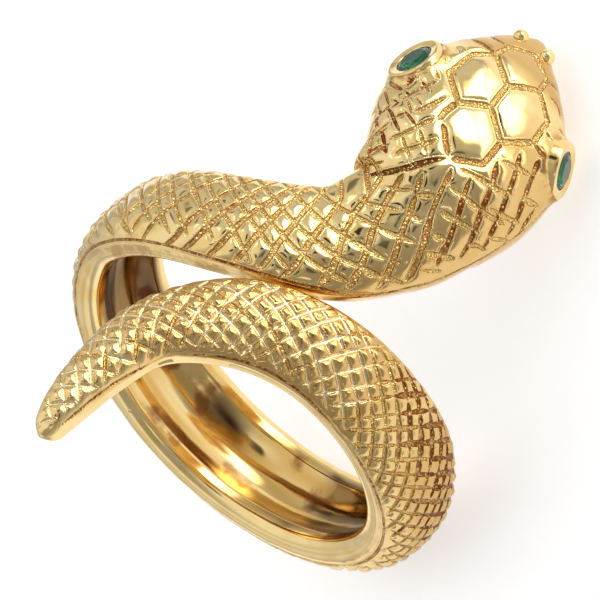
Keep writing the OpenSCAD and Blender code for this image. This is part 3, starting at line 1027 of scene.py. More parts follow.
    def cut(self, body: bpy.types.Object, gold: dict[Zone, bpy.types.Material]) -> bpy.types.Object:
        """Cut the lattice into the body and dress it.

        Args:
            body: The smooth body.
            gold: The material of each finish.

        Returns:
            The finished piece.
        """
        marks = self.lattice.samples()
        mesh = bpy.data.meshes.new("cut_lines")
        mesh.from_pydata(marks["place"].tolist(), [], [])
        self._store(mesh, "half", marks["half"])
        self._store(mesh, "stain", marks["stain"])
        lines = bpy.data.objects.new("cut_lines", mesh)
        bpy.context.scene.collection.objects.link(lines)
        modifier = body.modifiers.new("cutting", "NODES")
        modifier.node_group = engraving_tree()
        wanted = {"Cut Lines": lines, "Groove Depth": self.groove_depth, "Scale Rise": self.scale_rise,
                  "Unevenness": self.unevenness, "Seed": self.seed, "Back Gold": gold[Zone.BACK],
                  "Rim Gold": gold[Zone.RIM], "Bore Gold": gold[Zone.BORE]}
        for item in modifier.node_group.interface.items_tree:
            if item.item_type == "SOCKET" and item.in_out == "INPUT" and item.name in wanted:
                modifier[item.identifier] = wanted[item.name]
        graph = bpy.context.evaluated_depsgraph_get()
        shaped = body.evaluated_get(graph)
        done = bpy.data.meshes.new_from_object(shaped, preserve_all_data_layers=True, depsgraph=graph)
        body.modifiers.remove(modifier)
        self._keep_inside(done)
        body.data = done
        bpy.data.objects.remove(lines)
        done.name = "gold_snake_body"
        for name in ("carve", "rise", "reach", "zone"):
            if name in done.attributes:
                done.attributes.remove(done.attributes[name])
        return body

    @staticmethod
    def _keep_inside(mesh: bpy.types.Mesh) -> None:
        """Ease the mesh in where it would stand out of the model's box, over the last few millimetres.

        Args:
            mesh: The mesh, which is changed.
        """
        margin, eased = 0.004 * MM, 5 * MM
        spots = np.empty(len(mesh.vertices) * 3, np.float32)
        mesh.vertices.foreach_get("co", spots)
        spots = spots.reshape(-1, 3).astype(float)
        low, high = (np.array(corner) for corner in CAD_BOX)
        for axis in range(3):
            for side, limit in ((1, high[axis]), (-1, -low[axis])):
                out = spots[:, axis] * side
                over = out.max() - limit + margin
                if over > 0:
                    spots[:, axis] -= side * over * smooth_step(limit - eased, limit, out)
        mesh.vertices.foreach_set("co", spots.astype(np.float32).ravel())


def engraving_tree() -> bpy.types.NodeTree:
    """Build the tree that cuts lines into a back and raises the scales between them.

    Returns:
        The geometry node tree.
    """
    tree = bpy.data.node_groups.new("cut scales", "GeometryNodeTree")
    sockets = (("Geometry", "Geometry"), ("Cut Lines", "Object"), ("Groove Depth", "Float"),
               ("Scale Rise", "Float"), ("Unevenness", "Float"), ("Seed", "Int"),
               ("Back Gold", "Material"), ("Rim Gold", "Material"), ("Bore Gold", "Material"))
    for name, kind in sockets:
        tree.interface.new_socket(name, in_out="INPUT", socket_type="NodeSocket" + kind)
    tree.interface.new_socket("Geometry", in_out="OUTPUT", socket_type="NodeSocketGeometry")
    given = add_node(tree, "NodeGroupInput").outputs

    less = {"operation": "SUBTRACT"}
    number, vector, whole = {"data_type": "FLOAT"}, {"data_type": "FLOAT_VECTOR"}, {"data_type": "INT"}
    kinds = {"flat": vector, "carve": number, "rise": number, "reach": number, "zone": whole,
             "half": number, "stain": vector}
    value = {name: add_node(tree, "GeometryNodeInputNamedAttribute", kind, {"Name": name})
             for name, kind in kinds.items()}
    lines = add_node(tree, "GeometryNodeObjectInfo", {"transform_space": "ORIGINAL"},
                     {"Object": given["Cut Lines"]}).outputs["Geometry"]
    near = add_node(tree, "GeometryNodeSampleNearest", {"domain": "POINT"},
                    {"Geometry": lines, "Sample Position": value["flat"]})
    on_line = add_node(tree, "GeometryNodeSampleIndex", vector, {
        "Geometry": lines, "Value": add_node(tree, "GeometryNodeInputPosition"), "Index": near})
    half = add_node(tree, "GeometryNodeSampleIndex", number,
                    {"Geometry": lines, "Value": value["half"], "Index": near})
    stain = add_node(tree, "GeometryNodeSampleIndex", vector,
                     {"Geometry": lines, "Value": value["stain"], "Index": near})
    away = add_node(tree, "ShaderNodeVectorMath", {"operation": "DISTANCE"},
                    {0: value["flat"], 1: on_line}).outputs["Value"]
    gap = add_node(tree, "ShaderNodeMath", less, {0: away, 1: half})
    # the groove: full depth along its middle, and a steep wall up to 0.035 mm beyond the line. It is
    # shallower where the line's half width is under 0.11 mm
    share = add_node(tree, "ShaderNodeMath", {"operation": "DIVIDE", "use_clamp": True}, {0: half, 1: 0.11})
    foot = add_node(tree, "ShaderNodeMath", PRODUCT, {0: half, 1: -0.75})
    floor = add_node(tree, "ShaderNodeMapRange", SOFT,
                     {"Value": gap, "From Min": foot, "From Max": 0.035, "To Min": 1.0, "To Max": 0.0})
    most = add_node(tree, "ShaderNodeMath", PRODUCT, {0: given["Groove Depth"], 1: share})
    depth = add_node(tree, "ShaderNodeMath", PRODUCT, {0: most, 1: floor})
    # the scale: level on top and rolling down towards its edge
    inside = add_node(tree, "ShaderNodeMath", {"operation": "DIVIDE", "use_clamp": True},
                      {0: gap, 1: value["reach"]})
    outside = add_node(tree, "ShaderNodeMath", less, {0: 1.0, 1: inside})
    roll = add_node(tree, "ShaderNodeMath", {"operation": "POWER"}, {0: outside, 1: 2.0})
    height = add_node(tree, "ShaderNodeMath", PRODUCT, {0: given["Scale Rise"], 1: value["rise"]})
    fall = add_node(tree, "ShaderNodeMath", SCALED_SUM, {0: height, 1: roll, 2: depth})
    # no two scales lie quite alike: a slow noise, laid over the unrolled back in millimetres
    seed = add_node(tree, "ShaderNodeMath", {"operation": "ADD"}, {0: given["Seed"], 1: 0.5})
    noise = add_node(tree, "ShaderNodeTexNoise", {"noise_dimensions": "4D"},
                     {"Vector": value["flat"], "W": seed, "Scale": 0.9, "Detail": 1.0})
    level = add_node(tree, "ShaderNodeMath", less, {0: noise, 1: 0.6})
    uneven = add_node(tree, "ShaderNodeMath", PRODUCT, {0: level, 1: given["Unevenness"]})
    total = add_node(tree, "ShaderNodeMath", less, {0: uneven, 1: fall})
    kept = add_node(tree, "ShaderNodeMath", PRODUCT, {0: total, 1: value["carve"]})
    metres = add_node(tree, "ShaderNodeMath", PRODUCT, {0: kept, 1: MM})
    shift = add_node(tree, "ShaderNodeVectorMath", {"operation": "SCALE"},
                     {0: add_node(tree, "GeometryNodeInputNormal"), "Scale": metres})
    # where the back isn't cut, its gap is kept far from any line
    bare = add_node(tree, "ShaderNodeMath", {"operation": "LESS_THAN"}, {0: value["carve"], 1: 0.02})
    clear = add_node(tree, "ShaderNodeMath", SCALED_SUM, {0: bare, 1: 9.0, 2: gap})
    kept_gap = add_node(tree, "ShaderNodeMath", {"operation": "MINIMUM"}, {0: clear, 1: 1.0})
    held = add_node(tree, "GeometryNodeStoreNamedAttribute", {**number, "domain": "POINT"},
                    {"Geometry": given["Geometry"], "Name": "gap", "Value": kept_gap})
    marked = add_node(tree, "GeometryNodeStoreNamedAttribute", {**vector, "domain": "POINT"},
                      {"Geometry": held, "Name": "stain", "Value": stain})
    moved = add_node(tree, "GeometryNodeSetPosition", {}, {"Geometry": marked, "Offset": shift})
    result = add_node(tree, "GeometryNodeRealizeInstances", {}, {"Geometry": moved})
    for part in Zone:
        chosen = add_node(tree, "FunctionNodeCompare", {**whole, "operation": "EQUAL"},
                          {2: value["zone"], 3: part.value})
        result = add_node(tree, "GeometryNodeSetMaterial", {}, {
            "Geometry": result, "Selection": chosen, "Material": given[part.name.capitalize() + " Gold"]})
    add_node(tree, "NodeGroupOutput", {}, {"Geometry": result})
    return tree


def turned(name: str, profile: list[tuple[float, float]], middle: np.ndarray, axes: np.ndarray,
           around: int) -> bpy.types.Object:
    """Turn a profile round an axis into a closed piece.

    Args:
        name: The piece's name.
        profile: Points from the axis at the top, round the outside, to the axis below, as radius and height.
        middle: The piece's middle in the ring's own axes.
        axes: Its own axes as rows, the last one along the turning axis.
        around: How many steps go round.

    Returns:
        The piece's object.
    """
    points, faces = [], []
    rows: list[list[int]] = []
    for radius, height in profile:
        first = len(points)
        if radius < 1e-6:
            points.append((0.0, 0.0, height))
            rows.append([first])
            continue
        for k in range(around):
            a = 2 * math.pi * k / around
            points.append((radius * math.cos(a), radius * math.sin(a), height))
        rows.append(list(range(first, first + around)))
    for a, b in zip(rows, rows[1:]):
        for k in range(around):
            m = (k + 1) % around
            if len(a) == 1:
                faces.append((a[0], b[k], b[m]))
            elif len(b) == 1:
                faces.append((a[k], b[0], a[m]))
            else:
                faces.append((a[k], b[k], b[m], a[m]))
    laid = lie(np.array(points) @ axes + middle)
    fans = [(f[0], f[k], f[k + 1]) for f in faces for k in range(1, len(f) - 1)]
    a, b, c = (laid[[f[k] for f in fans]] - laid.mean(axis=0) for k in range(3))
    if np.einsum("ij,ij->i", a, np.cross(b, c)).sum() < 0:
        faces = [f[::-1] for f in faces]
    mesh = bpy.data.meshes.new(name)
    mesh.from_pydata(laid.tolist(), [], faces)
    mesh.shade_smooth()
    made = bpy.data.objects.new(name, mesh)
    bpy.context.scene.collection.objects.link(made)
    return made


def round_edge(radius: float, across: float, up: float, angles: range) -> list[tuple[float, float]]:
    """Points along a round edge of a profile.

    Args:
        radius: The edge's own radius.
        across: How far its middle is from the turning axis.
        up: How high its middle is.
        angles: The points' angles from straight up, in degrees.

    Returns:
        The points as radius and height.
    """
    turns = [math.radians(a) for a in angles]
    return [(across + radius * math.sin(turn), up + radius * math.cos(turn)) for turn in turns]


@dataclass
class EyeMount:
    """A tube bezel, with the pocket that its stone sits in. Sizes are in millimetres."""
    eye: Eye
    outer_r: float = 1.52
    foot_r: float = 1.42
    mouth_r: float = 0.93
    stone_r: float = 1.06
    top: float = 0.24
    edge_r: float = 0.16
    edge_in: float = 0.26
    foot: float = -1.5
    around: int = 96

    def profile(self) -> list[tuple[float, float]]:
        """The tube's outline.

        Returns:
            Its points from the bottom of the pocket, up over the rim and down outside.
        """
        pocket = [(0.0, -0.93), (0.13, -0.91), (self.stone_r + 0.02, -0.08), (self.stone_r + 0.025, 0.05)]
        lip = [(self.mouth_r + 0.02, 0.115), (self.mouth_r, 0.13), (self.mouth_r, 0.15),
               (self.mouth_r + 0.015, 0.17), (self.mouth_r + 0.06, 0.19), (self.mouth_r + 0.14, 0.212)]
        crown = round_edge(self.edge_r, self.outer_r - self.edge_in, self.top - self.edge_r,
                           range(-25, 81, 12))
        side = [(self.outer_r - 0.085, -0.05), (self.outer_r - 0.05, -0.25), (self.outer_r - 0.015, -0.5),
                (self.outer_r - 0.03, -0.8), (self.foot_r, -1.1), (self.foot_r, self.foot), (0.0, self.foot)]
        return pocket + lip + crown + side

    def build(self) -> bpy.types.Object:
        """Make the bezel."""
        middle, axes = self.eye.value.axes()
        return turned(self.eye.name.lower() + "_eye_bezel", self.profile(), middle, axes, self.around)


@dataclass
class Nostrils:
    """The two round beads at the tip of the snout.

    Sizes are in millimetres, and along counts sections of the path. The beads lean to the snout's end.
    """
    path: SnakePath
    radius: float = 0.395
    along: float = 22.62
    across: float = 0.7
    sunk: float = 0.02
    lean: float = 0.5
    around: int = 40

    def profile(self) -> list[tuple[float, float]]:
        """The bead's outline.

        Returns:
            Its points from the top, round the side and down to its flared foot.
        """
        ball = round_edge(self.radius, 0.0, 0.0, range(0, 125, 6))
        return ball + [(0.46, -0.34), (0.34, -0.5), (0.0, -0.54)]

    def build(self) -> list[bpy.types.Object]:
        """Make both beads.

        Returns:
            The left bead and the right one.
        """
        s = self.path.at(np.array(self.along))
        share = self.across / (s[HALF] - min(0.12, 0.2 * s[HALF]))
        rise = (s[CREST] - s[SHOULDER]) * (1 - share ** BACK_POWER) ** (1 / BACK_POWER)
        radius = np.array(s[SHOULDER] + rise - self.sunk)
        made = []
        for side, name in ((-1, "left_nostril_bead"), (1, "right_nostril_bead")):
            middle = self.path.place(np.array(self.along), np.array(side * self.across), radius)
            out = middle * np.array((0, 1, 1)) / np.linalg.norm(middle[1:]) - np.array((self.lean, 0, 0))
            out /= np.linalg.norm(out)
            one = np.cross(out, (1.0, 0.0, 0.0))
            one /= np.linalg.norm(one)
            axes = np.stack((one, np.cross(out, one), out))
            made.append(turned(name, self.profile(), middle, axes, self.around))
        return made


@dataclass(frozen=True)
class Finish:
    """A finish, with the start that all of them share."""
    name: str

    def start(self) -> tuple[bpy.types.Material, bpy.types.NodeTree, bpy.types.Node]:
        """Make an empty material.

        Returns:
            The material, its node tree and its surface shader.
        """
        material = bpy.data.materials.new(self.name)
        material.use_nodes = True
        tree = material.node_tree
        tree.nodes.clear()
        shader = add_node(tree, "ShaderNodeBsdfPrincipled")
        add_node(tree, "ShaderNodeOutputMaterial", {}, {"Surface": shader})
        return material, tree, shader


@dataclass(frozen=True)
class CutGold(Finish):
    """18 ct yellow gold, investment cast, then cut with a graver and polished on the high places.

    The scales shine like mirrors with soft ripples. The cut floors keep bright metal grains, with
    brown and red polish residue in the gaps between them.
    """
    gold: str = "FFE1A0"
    warm_gold: str = "F5D48A"
    highlight_gold: str = "FFE8B4"
    grained_gold: str = "F4D286"
    shaded_gold: str = "D4A862"
    brown: str = "B06A22"
    red: str = "9C4424"
    black: str = "1E1208"
    gloss: float = 0.095
    grain_mm: float = 0.13
    speck_mm: float = 0.09
    blotch_mm: float = 0.5
    ripple_mm: float = 0.9
    grain_depth_mm: float = 0.055
    burr_mm: float = 0.022
    wave_mm: float = 0.014
    speck_height_mm: float = 0.0012

    def build(self) -> bpy.types.Material:
        """Make the material.

        Returns:
            The material, which reads the body's gap, stain, brown patches and painted shade.
        """
        material, tree, shader = self.start()
        where = add_node(tree, "ShaderNodeTexCoord").outputs["Object"]
        gap = add_node(tree, "ShaderNodeAttribute", {"attribute_name": "gap"}).outputs["Fac"]
        marks = add_node(tree, "ShaderNodeAttribute", {"attribute_name": "stain"}).outputs["Vector"]
        stain = add_node(tree, "ShaderNodeSeparateXYZ", {}, {0: marks})
        soot = add_node(tree, "ShaderNodeAttribute", {"attribute_name": "soot"}).outputs["Fac"]
        film = add_node(tree, "ShaderNodeAttribute", {"attribute_name": "film"}).outputs["Fac"]
        # the floor's grains are near 0.06 mm and are drawn more than twice that, so that they show
        cells = add_node(tree, "ShaderNodeTexVoronoi", {"feature": "F1"},
                         {"Vector": where, "Scale": PER_MM / self.grain_mm}).outputs["Distance"]
        speck = add_node(tree, "ShaderNodeTexNoise", {},
                         {"Vector": where, "Scale": PER_MM / self.speck_mm, "Detail": 2.0})
        blotch = add_node(tree, "ShaderNodeTexNoise", {},
                          {"Vector": where, "Scale": PER_MM / self.blotch_mm, "Detail": 2.0})
        ripple = add_node(tree, "ShaderNodeTexNoise", {},
                          {"Vector": where, "Scale": PER_MM / self.ripple_mm, "Detail": 1.0})
        # which places are the floor of a cut, which the burr beside it, and which floors have grains
        wobble = add_node(tree, "ShaderNodeMath", SCALED_SUM, {0: speck, 1: 0.06, 2: -0.03})
        edge = add_node(tree, "ShaderNodeMath", {"operation": "ADD"}, {0: gap, 1: wobble})
        floor = add_node(tree, "ShaderNodeMapRange", SOFT,
                         {"Value": edge, "From Min": 0.025, "From Max": -0.02})
        near = add_node(tree, "ShaderNodeMapRange", SOFT,
                        {"Value": edge, "From Min": 0.11, "From Max": 0.045})
        clear = add_node(tree, "ShaderNodeMath", {"operation": "SUBTRACT"}, {0: 1.0, 1: floor})
        burr = add_node(tree, "ShaderNodeMath", PRODUCT, {0: near, 1: clear})
        grainy = add_node(tree, "ShaderNodeMapRange", SOFT,
                          {"Value": stain.outputs["Z"], "From Min": -0.7, "From Max": -0.3})
        # heights in millimetres: the burr along a cut, the grains of its floor, the soft waves
        grains = add_node(tree, "ShaderNodeMapRange", {}, {
            "Value": cells, "From Min": 0.0, "From Max": 0.7, "To Min": 0.0, "To Max": -self.grain_depth_mm})
        grained = add_node(tree, "ShaderNodeMath", PRODUCT, {0: grainy, 1: grains})
        rough_floor = add_node(tree, "ShaderNodeMath", PRODUCT, {0: floor, 1: grained})
        raised = add_node(tree, "ShaderNodeMath", SCALED_SUM, {0: burr, 1: self.burr_mm, 2: rough_floor})
        waved = add_node(tree, "ShaderNodeMath", SCALED_SUM, {0: ripple, 1: self.wave_mm, 2: raised})
        height = add_node(tree, "ShaderNodeMath", SCALED_SUM, {0: speck, 1: self.speck_height_mm, 2: waved})
        bump = add_node(tree, "ShaderNodeBump", {}, {"Strength": 1.0, "Distance": MM, "Height": height})
        # residue fills the gaps between the grains first, and covers them where a cut is very stained
        between = add_node(tree, "ShaderNodeMapRange", SOFT, {
            "Value": cells, "From Min": 0.22, "From Max": 0.55, "To Min": 0.3, "To Max": 1.5})
        uneven = add_node(tree, "ShaderNodeMapRange", SOFT, {
            "Value": blotch, "From Min": 0.3, "From Max": 0.65, "To Min": 0.6, "To Max": 1.3})
        filled = add_node(tree, "ShaderNodeMath", PRODUCT, {0: between, 1: stain.outputs["X"]})
        spread = add_node(tree, "ShaderNodeMath", PRODUCT, {0: filled, 1: uneven})
        amount = add_node(tree, "ShaderNodeMath", CAPPED_PRODUCT, {0: spread, 1: floor})
        brown_blotch = add_node(tree, "ShaderNodeMapRange", SOFT, {
            "Value": blotch, "From Min": 0.44, "From Max": 0.6, "To Min": 0.0, "To Max": 0.8})
        foot = add_node(tree, "ShaderNodeMath", PRODUCT, {0: brown_blotch, 1: soot})
        dirty = add_node(tree, "ShaderNodeMath", {"operation": "MAXIMUM"}, {0: amount, 1: foot})
        # colours: the metal with its warm waves and its painted shade, a darker gold in places, the floors,
        # then what lies on them
        tint = add_node(tree, "ShaderNodeMix", BLEND,
                        {0: stain.outputs["Y"], 6: linear(self.brown), 7: linear(self.red)}).outputs[2]
        dirt = add_node(tree, "ShaderNodeMix", BLEND,
                        {0: stain.outputs["Z"], 6: tint, 7: linear(self.black)}).outputs[2]
        warmth = add_node(tree, "ShaderNodeMapRange", SOFT,
                          {"Value": ripple, "From Min": 0.35, "From Max": 0.7})
        metal = add_node(tree, "ShaderNodeMix", BLEND,
                         {0: warmth, 6: linear(self.gold), 7: linear(self.warm_gold)}).outputs[2]
        # painted shade: the metal turns a darker gold where the body's value for it is set
        shaded_metal = add_node(tree, "ShaderNodeMix", BLEND,
                          {0: film, 6: metal, 7: linear(self.shaded_gold)}).outputs[2]
        # painted highlight: the polished cut floors are a paler gold than the metal
        bottom = add_node(tree, "ShaderNodeMix", BLEND,
                          {0: grainy, 6: linear(self.highlight_gold), 7: linear(self.grained_gold)}).outputs[2]
        cut = add_node(tree, "ShaderNodeMix", BLEND, {0: floor, 6: shaded_metal, 7: bottom}).outputs[2]
        stained = add_node(tree, "ShaderNodeMix", BLEND, {0: amount, 6: cut, 7: dirt}).outputs[2]
        colour = add_node(tree, "ShaderNodeMix", BLEND,
                          {0: foot, 6: stained, 7: linear(self.brown)}).outputs[2]
        # residue is less of a mirror than the metal, and rougher
        metallic = add_node(tree, "ShaderNodeMapRange", {},
                            {"Value": dirty, "From Min": 0.3, "To Min": 1.0, "To Max": 0.85})
        polish = add_node(tree, "ShaderNodeMath", SCALED_SUM, {0: speck, 1: 0.06, 2: self.gloss - 0.03})
        grit = add_node(tree, "ShaderNodeMath", PRODUCT, {0: floor, 1: grainy})
        matt = add_node(tree, "ShaderNodeMath", SCALED_SUM, {0: grit, 1: 0.12, 2: polish})
        rough = add_node(tree, "ShaderNodeMath", SCALED_SUM, {0: dirty, 1: 0.25, 2: matt})
        tree.links.new(colour, shader.inputs["Base Color"])
        tree.links.new(metallic.outputs[0], shader.inputs["Metallic"])
        tree.links.new(rough.outputs[0], shader.inputs["Roughness"])
        tree.links.new(bump.outputs[0], shader.inputs["Normal"])
        return material


@dataclass(frozen=True)
class SmoothGold(Finish):
    """18 ct yellow gold, cast and hand buffed, with the odd casting pit.

    It reads as one soft cream band with a slightly uneven gloss.
    """
    gold: str = "FFE2A0"
    warm_gold: str = "F8D388"
    pit: str = "6B431F"
    brown_patches: str = "A8642F"
    gloss: float = 0.15
    ripple_mm: float = 1.3
    ripple_height_mm: float = 0.012
    haze_mm: float = 0.06
    haze_height_mm: float = 0.0006
    pit_spacing_mm: float = 2.6
    pit_depth_mm: float = 0.012
    blotch_mm: float = 1.1
    grit_mm: float = 0.14
    grit_height_mm: float = 0.03

    def build(self) -> bpy.types.Material:
        """Make the material.

        Returns:
            The material, which reads where the body is darker brown in patches.
        """
        material, tree, shader = self.start()
        where = add_node(tree, "ShaderNodeTexCoord").outputs["Object"]
        soot = add_node(tree, "ShaderNodeAttribute", {"attribute_name": "soot"}).outputs["Fac"]
        ripple = add_node(tree, "ShaderNodeTexNoise", {},
                          {"Vector": where, "Scale": PER_MM / self.ripple_mm, "Detail": 1.5})
        haze = add_node(tree, "ShaderNodeTexNoise", {},
                        {"Vector": where, "Scale": PER_MM / self.haze_mm, "Detail": 2.0})
        spots = add_node(tree, "ShaderNodeTexVoronoi", {"feature": "F1"},
                         {"Vector": where, "Scale": PER_MM / self.pit_spacing_mm})
        blotch = add_node(tree, "ShaderNodeTexNoise", {},
                          {"Vector": where, "Scale": PER_MM / self.blotch_mm, "Detail": 4.0})
        grain = add_node(tree, "ShaderNodeTexNoise", {},
                         {"Vector": where, "Scale": PER_MM / self.grit_mm, "Detail": 2.0})
        pits = add_node(tree, "ShaderNodeMapRange", SOFT,
                        {"Value": spots.outputs["Distance"], "From Min": 0.05, "From Max": 0.02})
        patchy = add_node(tree, "ShaderNodeMapRange", SOFT, {
            "Value": blotch, "From Min": 0.46, "From Max": 0.62, "To Min": 0.0, "To Max": 0.6})
        brown_patches = add_node(tree, "ShaderNodeMath", PRODUCT, {0: soot, 1: patchy})
        # heights in millimetres: grit in the brown patches, the pits, the ripples and the haze
        gritty = add_node(tree, "ShaderNodeMath", PRODUCT, {0: soot, 1: grain})
        grit = add_node(tree, "ShaderNodeMath", PRODUCT, {0: gritty, 1: self.grit_height_mm})
        sunk = add_node(tree, "ShaderNodeMath", SCALED_SUM, {0: pits, 1: -self.pit_depth_mm, 2: grit})
        waved = add_node(tree, "ShaderNodeMath", SCALED_SUM, {0: ripple, 1: self.ripple_height_mm, 2: sunk})
        height = add_node(tree, "ShaderNodeMath", SCALED_SUM, {0: haze, 1: self.haze_height_mm, 2: waved})
        bump = add_node(tree, "ShaderNodeBump", {}, {"Strength": 1.0, "Distance": MM, "Height": height})
        warmth = add_node(tree, "ShaderNodeMapRange", SOFT,
                          {"Value": ripple, "From Min": 0.35, "From Max": 0.7})
        metal = add_node(tree, "ShaderNodeMix", BLEND,
                         {0: warmth, 6: linear(self.gold), 7: linear(self.warm_gold)}).outputs[2]
        # a deeper pit is also darker
        pitted = add_node(tree, "ShaderNodeMath", CAPPED_PRODUCT, {0: pits, 1: self.pit_depth_mm * 30})
        dulled = add_node(tree, "ShaderNodeMix", BLEND,
                          {0: brown_patches, 6: metal, 7: linear(self.brown_patches)}).outputs[2]
        colour = add_node(tree, "ShaderNodeMix", BLEND,
                          {0: pitted, 6: dulled, 7: linear(self.pit)}).outputs[2]
        polish = add_node(tree, "ShaderNodeMath", SCALED_SUM, {0: haze, 1: 0.08, 2: self.gloss - 0.04})
        rough = add_node(tree, "ShaderNodeMath", SCALED_SUM, {0: brown_patches, 1: 0.3, 2: polish})
        tree.links.new(colour, shader.inputs["Base Color"])
        tree.links.new(rough.outputs[0], shader.inputs["Roughness"])
        tree.links.new(bump.outputs[0], shader.inputs["Normal"])
        shader.inputs["Metallic"].default_value = 1.0
        return material


@dataclass(frozen=True)
class BoreGold(Finish):
    """18 ct yellow gold, tumbled bright inside a ring that has been worn, with tarnish left in patches.

    Soft scratches run round the finger and draw the light out into broad streaks. Streaks and
    scratches follow the unrolled body, so their frequencies are given along it and across it.
    """
    gold: str = "F6D898"
    warm_gold: str = "DDB264"
    tarnish: str = "8C4A20"
    shade_brown: str = "4A2412"
    gloss: float = 0.13
    streaks_per_mm: tuple[float, float, float] = (0.14, 1.0, 1.0)
    streak_height_mm: float = 0.07
    scratches_per_mm: tuple[float, float, float] = (0.5, 14.0, 1.0)
    scratch_height_mm: float = 0.0014
    lump_mm: float = 1.6
    lump_height_mm: float = 0.035
    patch_mm: float = 2.2

    def build(self) -> bpy.types.Material:
        """Make the material.

        Returns:
            The material, which reads the body's unrolled place, its brown patches and its painted shade.
        """
        material, tree, shader = self.start()
        where = add_node(tree, "ShaderNodeTexCoord").outputs["Object"]
        flat = add_node(tree, "ShaderNodeAttribute", {"attribute_name": "flat"}).outputs["Vector"]
        soot = add_node(tree, "ShaderNodeAttribute", {"attribute_name": "soot"}).outputs["Fac"]
        along = add_node(tree, "ShaderNodeVectorMath", PRODUCT, {0: flat, 1: self.streaks_per_mm})
        streak = add_node(tree, "ShaderNodeTexNoise", {}, {"Vector": along, "Scale": 1.0, "Detail": 1.0})
        rubbed = add_node(tree, "ShaderNodeVectorMath", PRODUCT, {0: flat, 1: self.scratches_per_mm})
        scratch = add_node(tree, "ShaderNodeTexNoise", {}, {"Vector": rubbed, "Scale": 1.0, "Detail": 2.0})
        lump = add_node(tree, "ShaderNodeTexNoise", {},
                        {"Vector": where, "Scale": PER_MM / self.lump_mm, "Detail": 1.0})
        patch = add_node(tree, "ShaderNodeTexNoise", {},
                         {"Vector": where, "Scale": PER_MM / self.patch_mm, "Detail": 4.0})
        # heights in millimetres: the streaks, the lumps and the scratches
        drawn = add_node(tree, "ShaderNodeMath", PRODUCT, {0: streak, 1: self.streak_height_mm})
        lumpy = add_node(tree, "ShaderNodeMath", SCALED_SUM, {0: lump, 1: self.lump_height_mm, 2: drawn})
        height = add_node(tree, "ShaderNodeMath", SCALED_SUM,
                          {0: scratch, 1: self.scratch_height_mm, 2: lumpy})
        bump = add_node(tree, "ShaderNodeBump", {}, {"Strength": 1.0, "Distance": MM, "Height": height})
        # colours: the metal, thin tarnish in patches, then painted shade, a dark brown where the body's
        # values place it
        warmth = add_node(tree, "ShaderNodeMapRange", SOFT,
                          {"Value": streak, "From Min": 0.3, "From Max": 0.7})
        metal = add_node(tree, "ShaderNodeMix", BLEND,
                         {0: warmth, 6: linear(self.gold), 7: linear(self.warm_gold)}).outputs[2]
        tarnished = add_node(tree, "ShaderNodeMapRange", SOFT, {
            "Value": patch, "From Min": 0.54, "From Max": 0.68, "To Min": 0.0, "To Max": 0.8})
        spotted = add_node(tree, "ShaderNodeMix", BLEND,
                           {0: tarnished, 6: metal, 7: linear(self.tarnish)}).outputs[2]
        cloudy = add_node(tree, "ShaderNodeMapRange", SOFT, {
            "Value": streak, "From Min": 0.3, "From Max": 0.6, "To Min": 1.05, "To Max": 0.75})
        # painted shade: the channel goes dark brown where the body's values place it, a little uneven along
        # the streaks
        dark = add_node(tree, "ShaderNodeMath", CAPPED_PRODUCT, {0: soot, 1: cloudy})
        colour = add_node(tree, "ShaderNodeMix", BLEND,
                          {0: dark, 6: spotted, 7: linear(self.shade_brown)}).outputs[2]
        polish = add_node(tree, "ShaderNodeMath", SCALED_SUM, {0: scratch, 1: 0.1, 2: self.gloss - 0.05})
        rough = add_node(tree, "ShaderNodeMath", SCALED_SUM, {0: tarnished, 1: 0.15, 2: polish})
        tree.links.new(colour, shader.inputs["Base Color"])
        tree.links.new(rough.outputs[0], shader.inputs["Roughness"])
        tree.links.new(bump.outputs[0], shader.inputs["Normal"])
        shader.inputs["Metallic"].default_value = 1.0
        return material


@dataclass(frozen=True)
class Emerald(Finish):
    """Emerald, cut and polished, with the faint mossy clouds that natural stones carry.

    Part of the light goes through and part comes back from the clouds as a bluish green.
    """
    green: str = "36B383"
    deep_green: str = "1A9862"
    cloud_mm: float = 0.5
    veil_mm: float = 0.12
    veil_height_mm: float = 0.0004

    def build(self) -> bpy.types.Material:
        """Make the material.

        Returns:
            The material.
        """
        material, tree, shader = self.start()
        where = add_node(tree, "ShaderNodeTexCoord").outputs["Object"]
        cloud = add_node(tree, "ShaderNodeTexNoise", {},
                         {"Vector": where, "Scale": PER_MM / self.cloud_mm, "Detail": 3.0})
        veil = add_node(tree, "ShaderNodeTexNoise", {},
                        {"Vector": where, "Scale": PER_MM / self.veil_mm, "Detail": 2.0})
        depth = add_node(tree, "ShaderNodeMapRange", SOFT,
                         {"Value": cloud, "From Min": 0.35, "From Max": 0.65})
        colour = add_node(tree, "ShaderNodeMix", BLEND,
                          {0: depth, 6: linear(self.green), 7: linear(self.deep_green)}).outputs[2]
        rough = add_node(tree, "ShaderNodeMath", SCALED_SUM, {0: veil, 1: 0.04, 2: 0.01})
        fine = add_node(tree, "ShaderNodeMath", PRODUCT, {0: veil, 1: self.veil_height_mm})
        bump = add_node(tree, "ShaderNodeBump", {}, {"Strength": 1.0, "Distance": MM, "Height": fine})
        tree.links.new(colour, shader.inputs["Base Color"])
        tree.links.new(rough.outputs[0], shader.inputs["Roughness"])
        tree.links.new(bump.outputs[0], shader.inputs["Normal"])
        shader.inputs["IOR"].default_value = 1.577
        shader.inputs["Transmission Weight"].default_value = 0.88
        return material


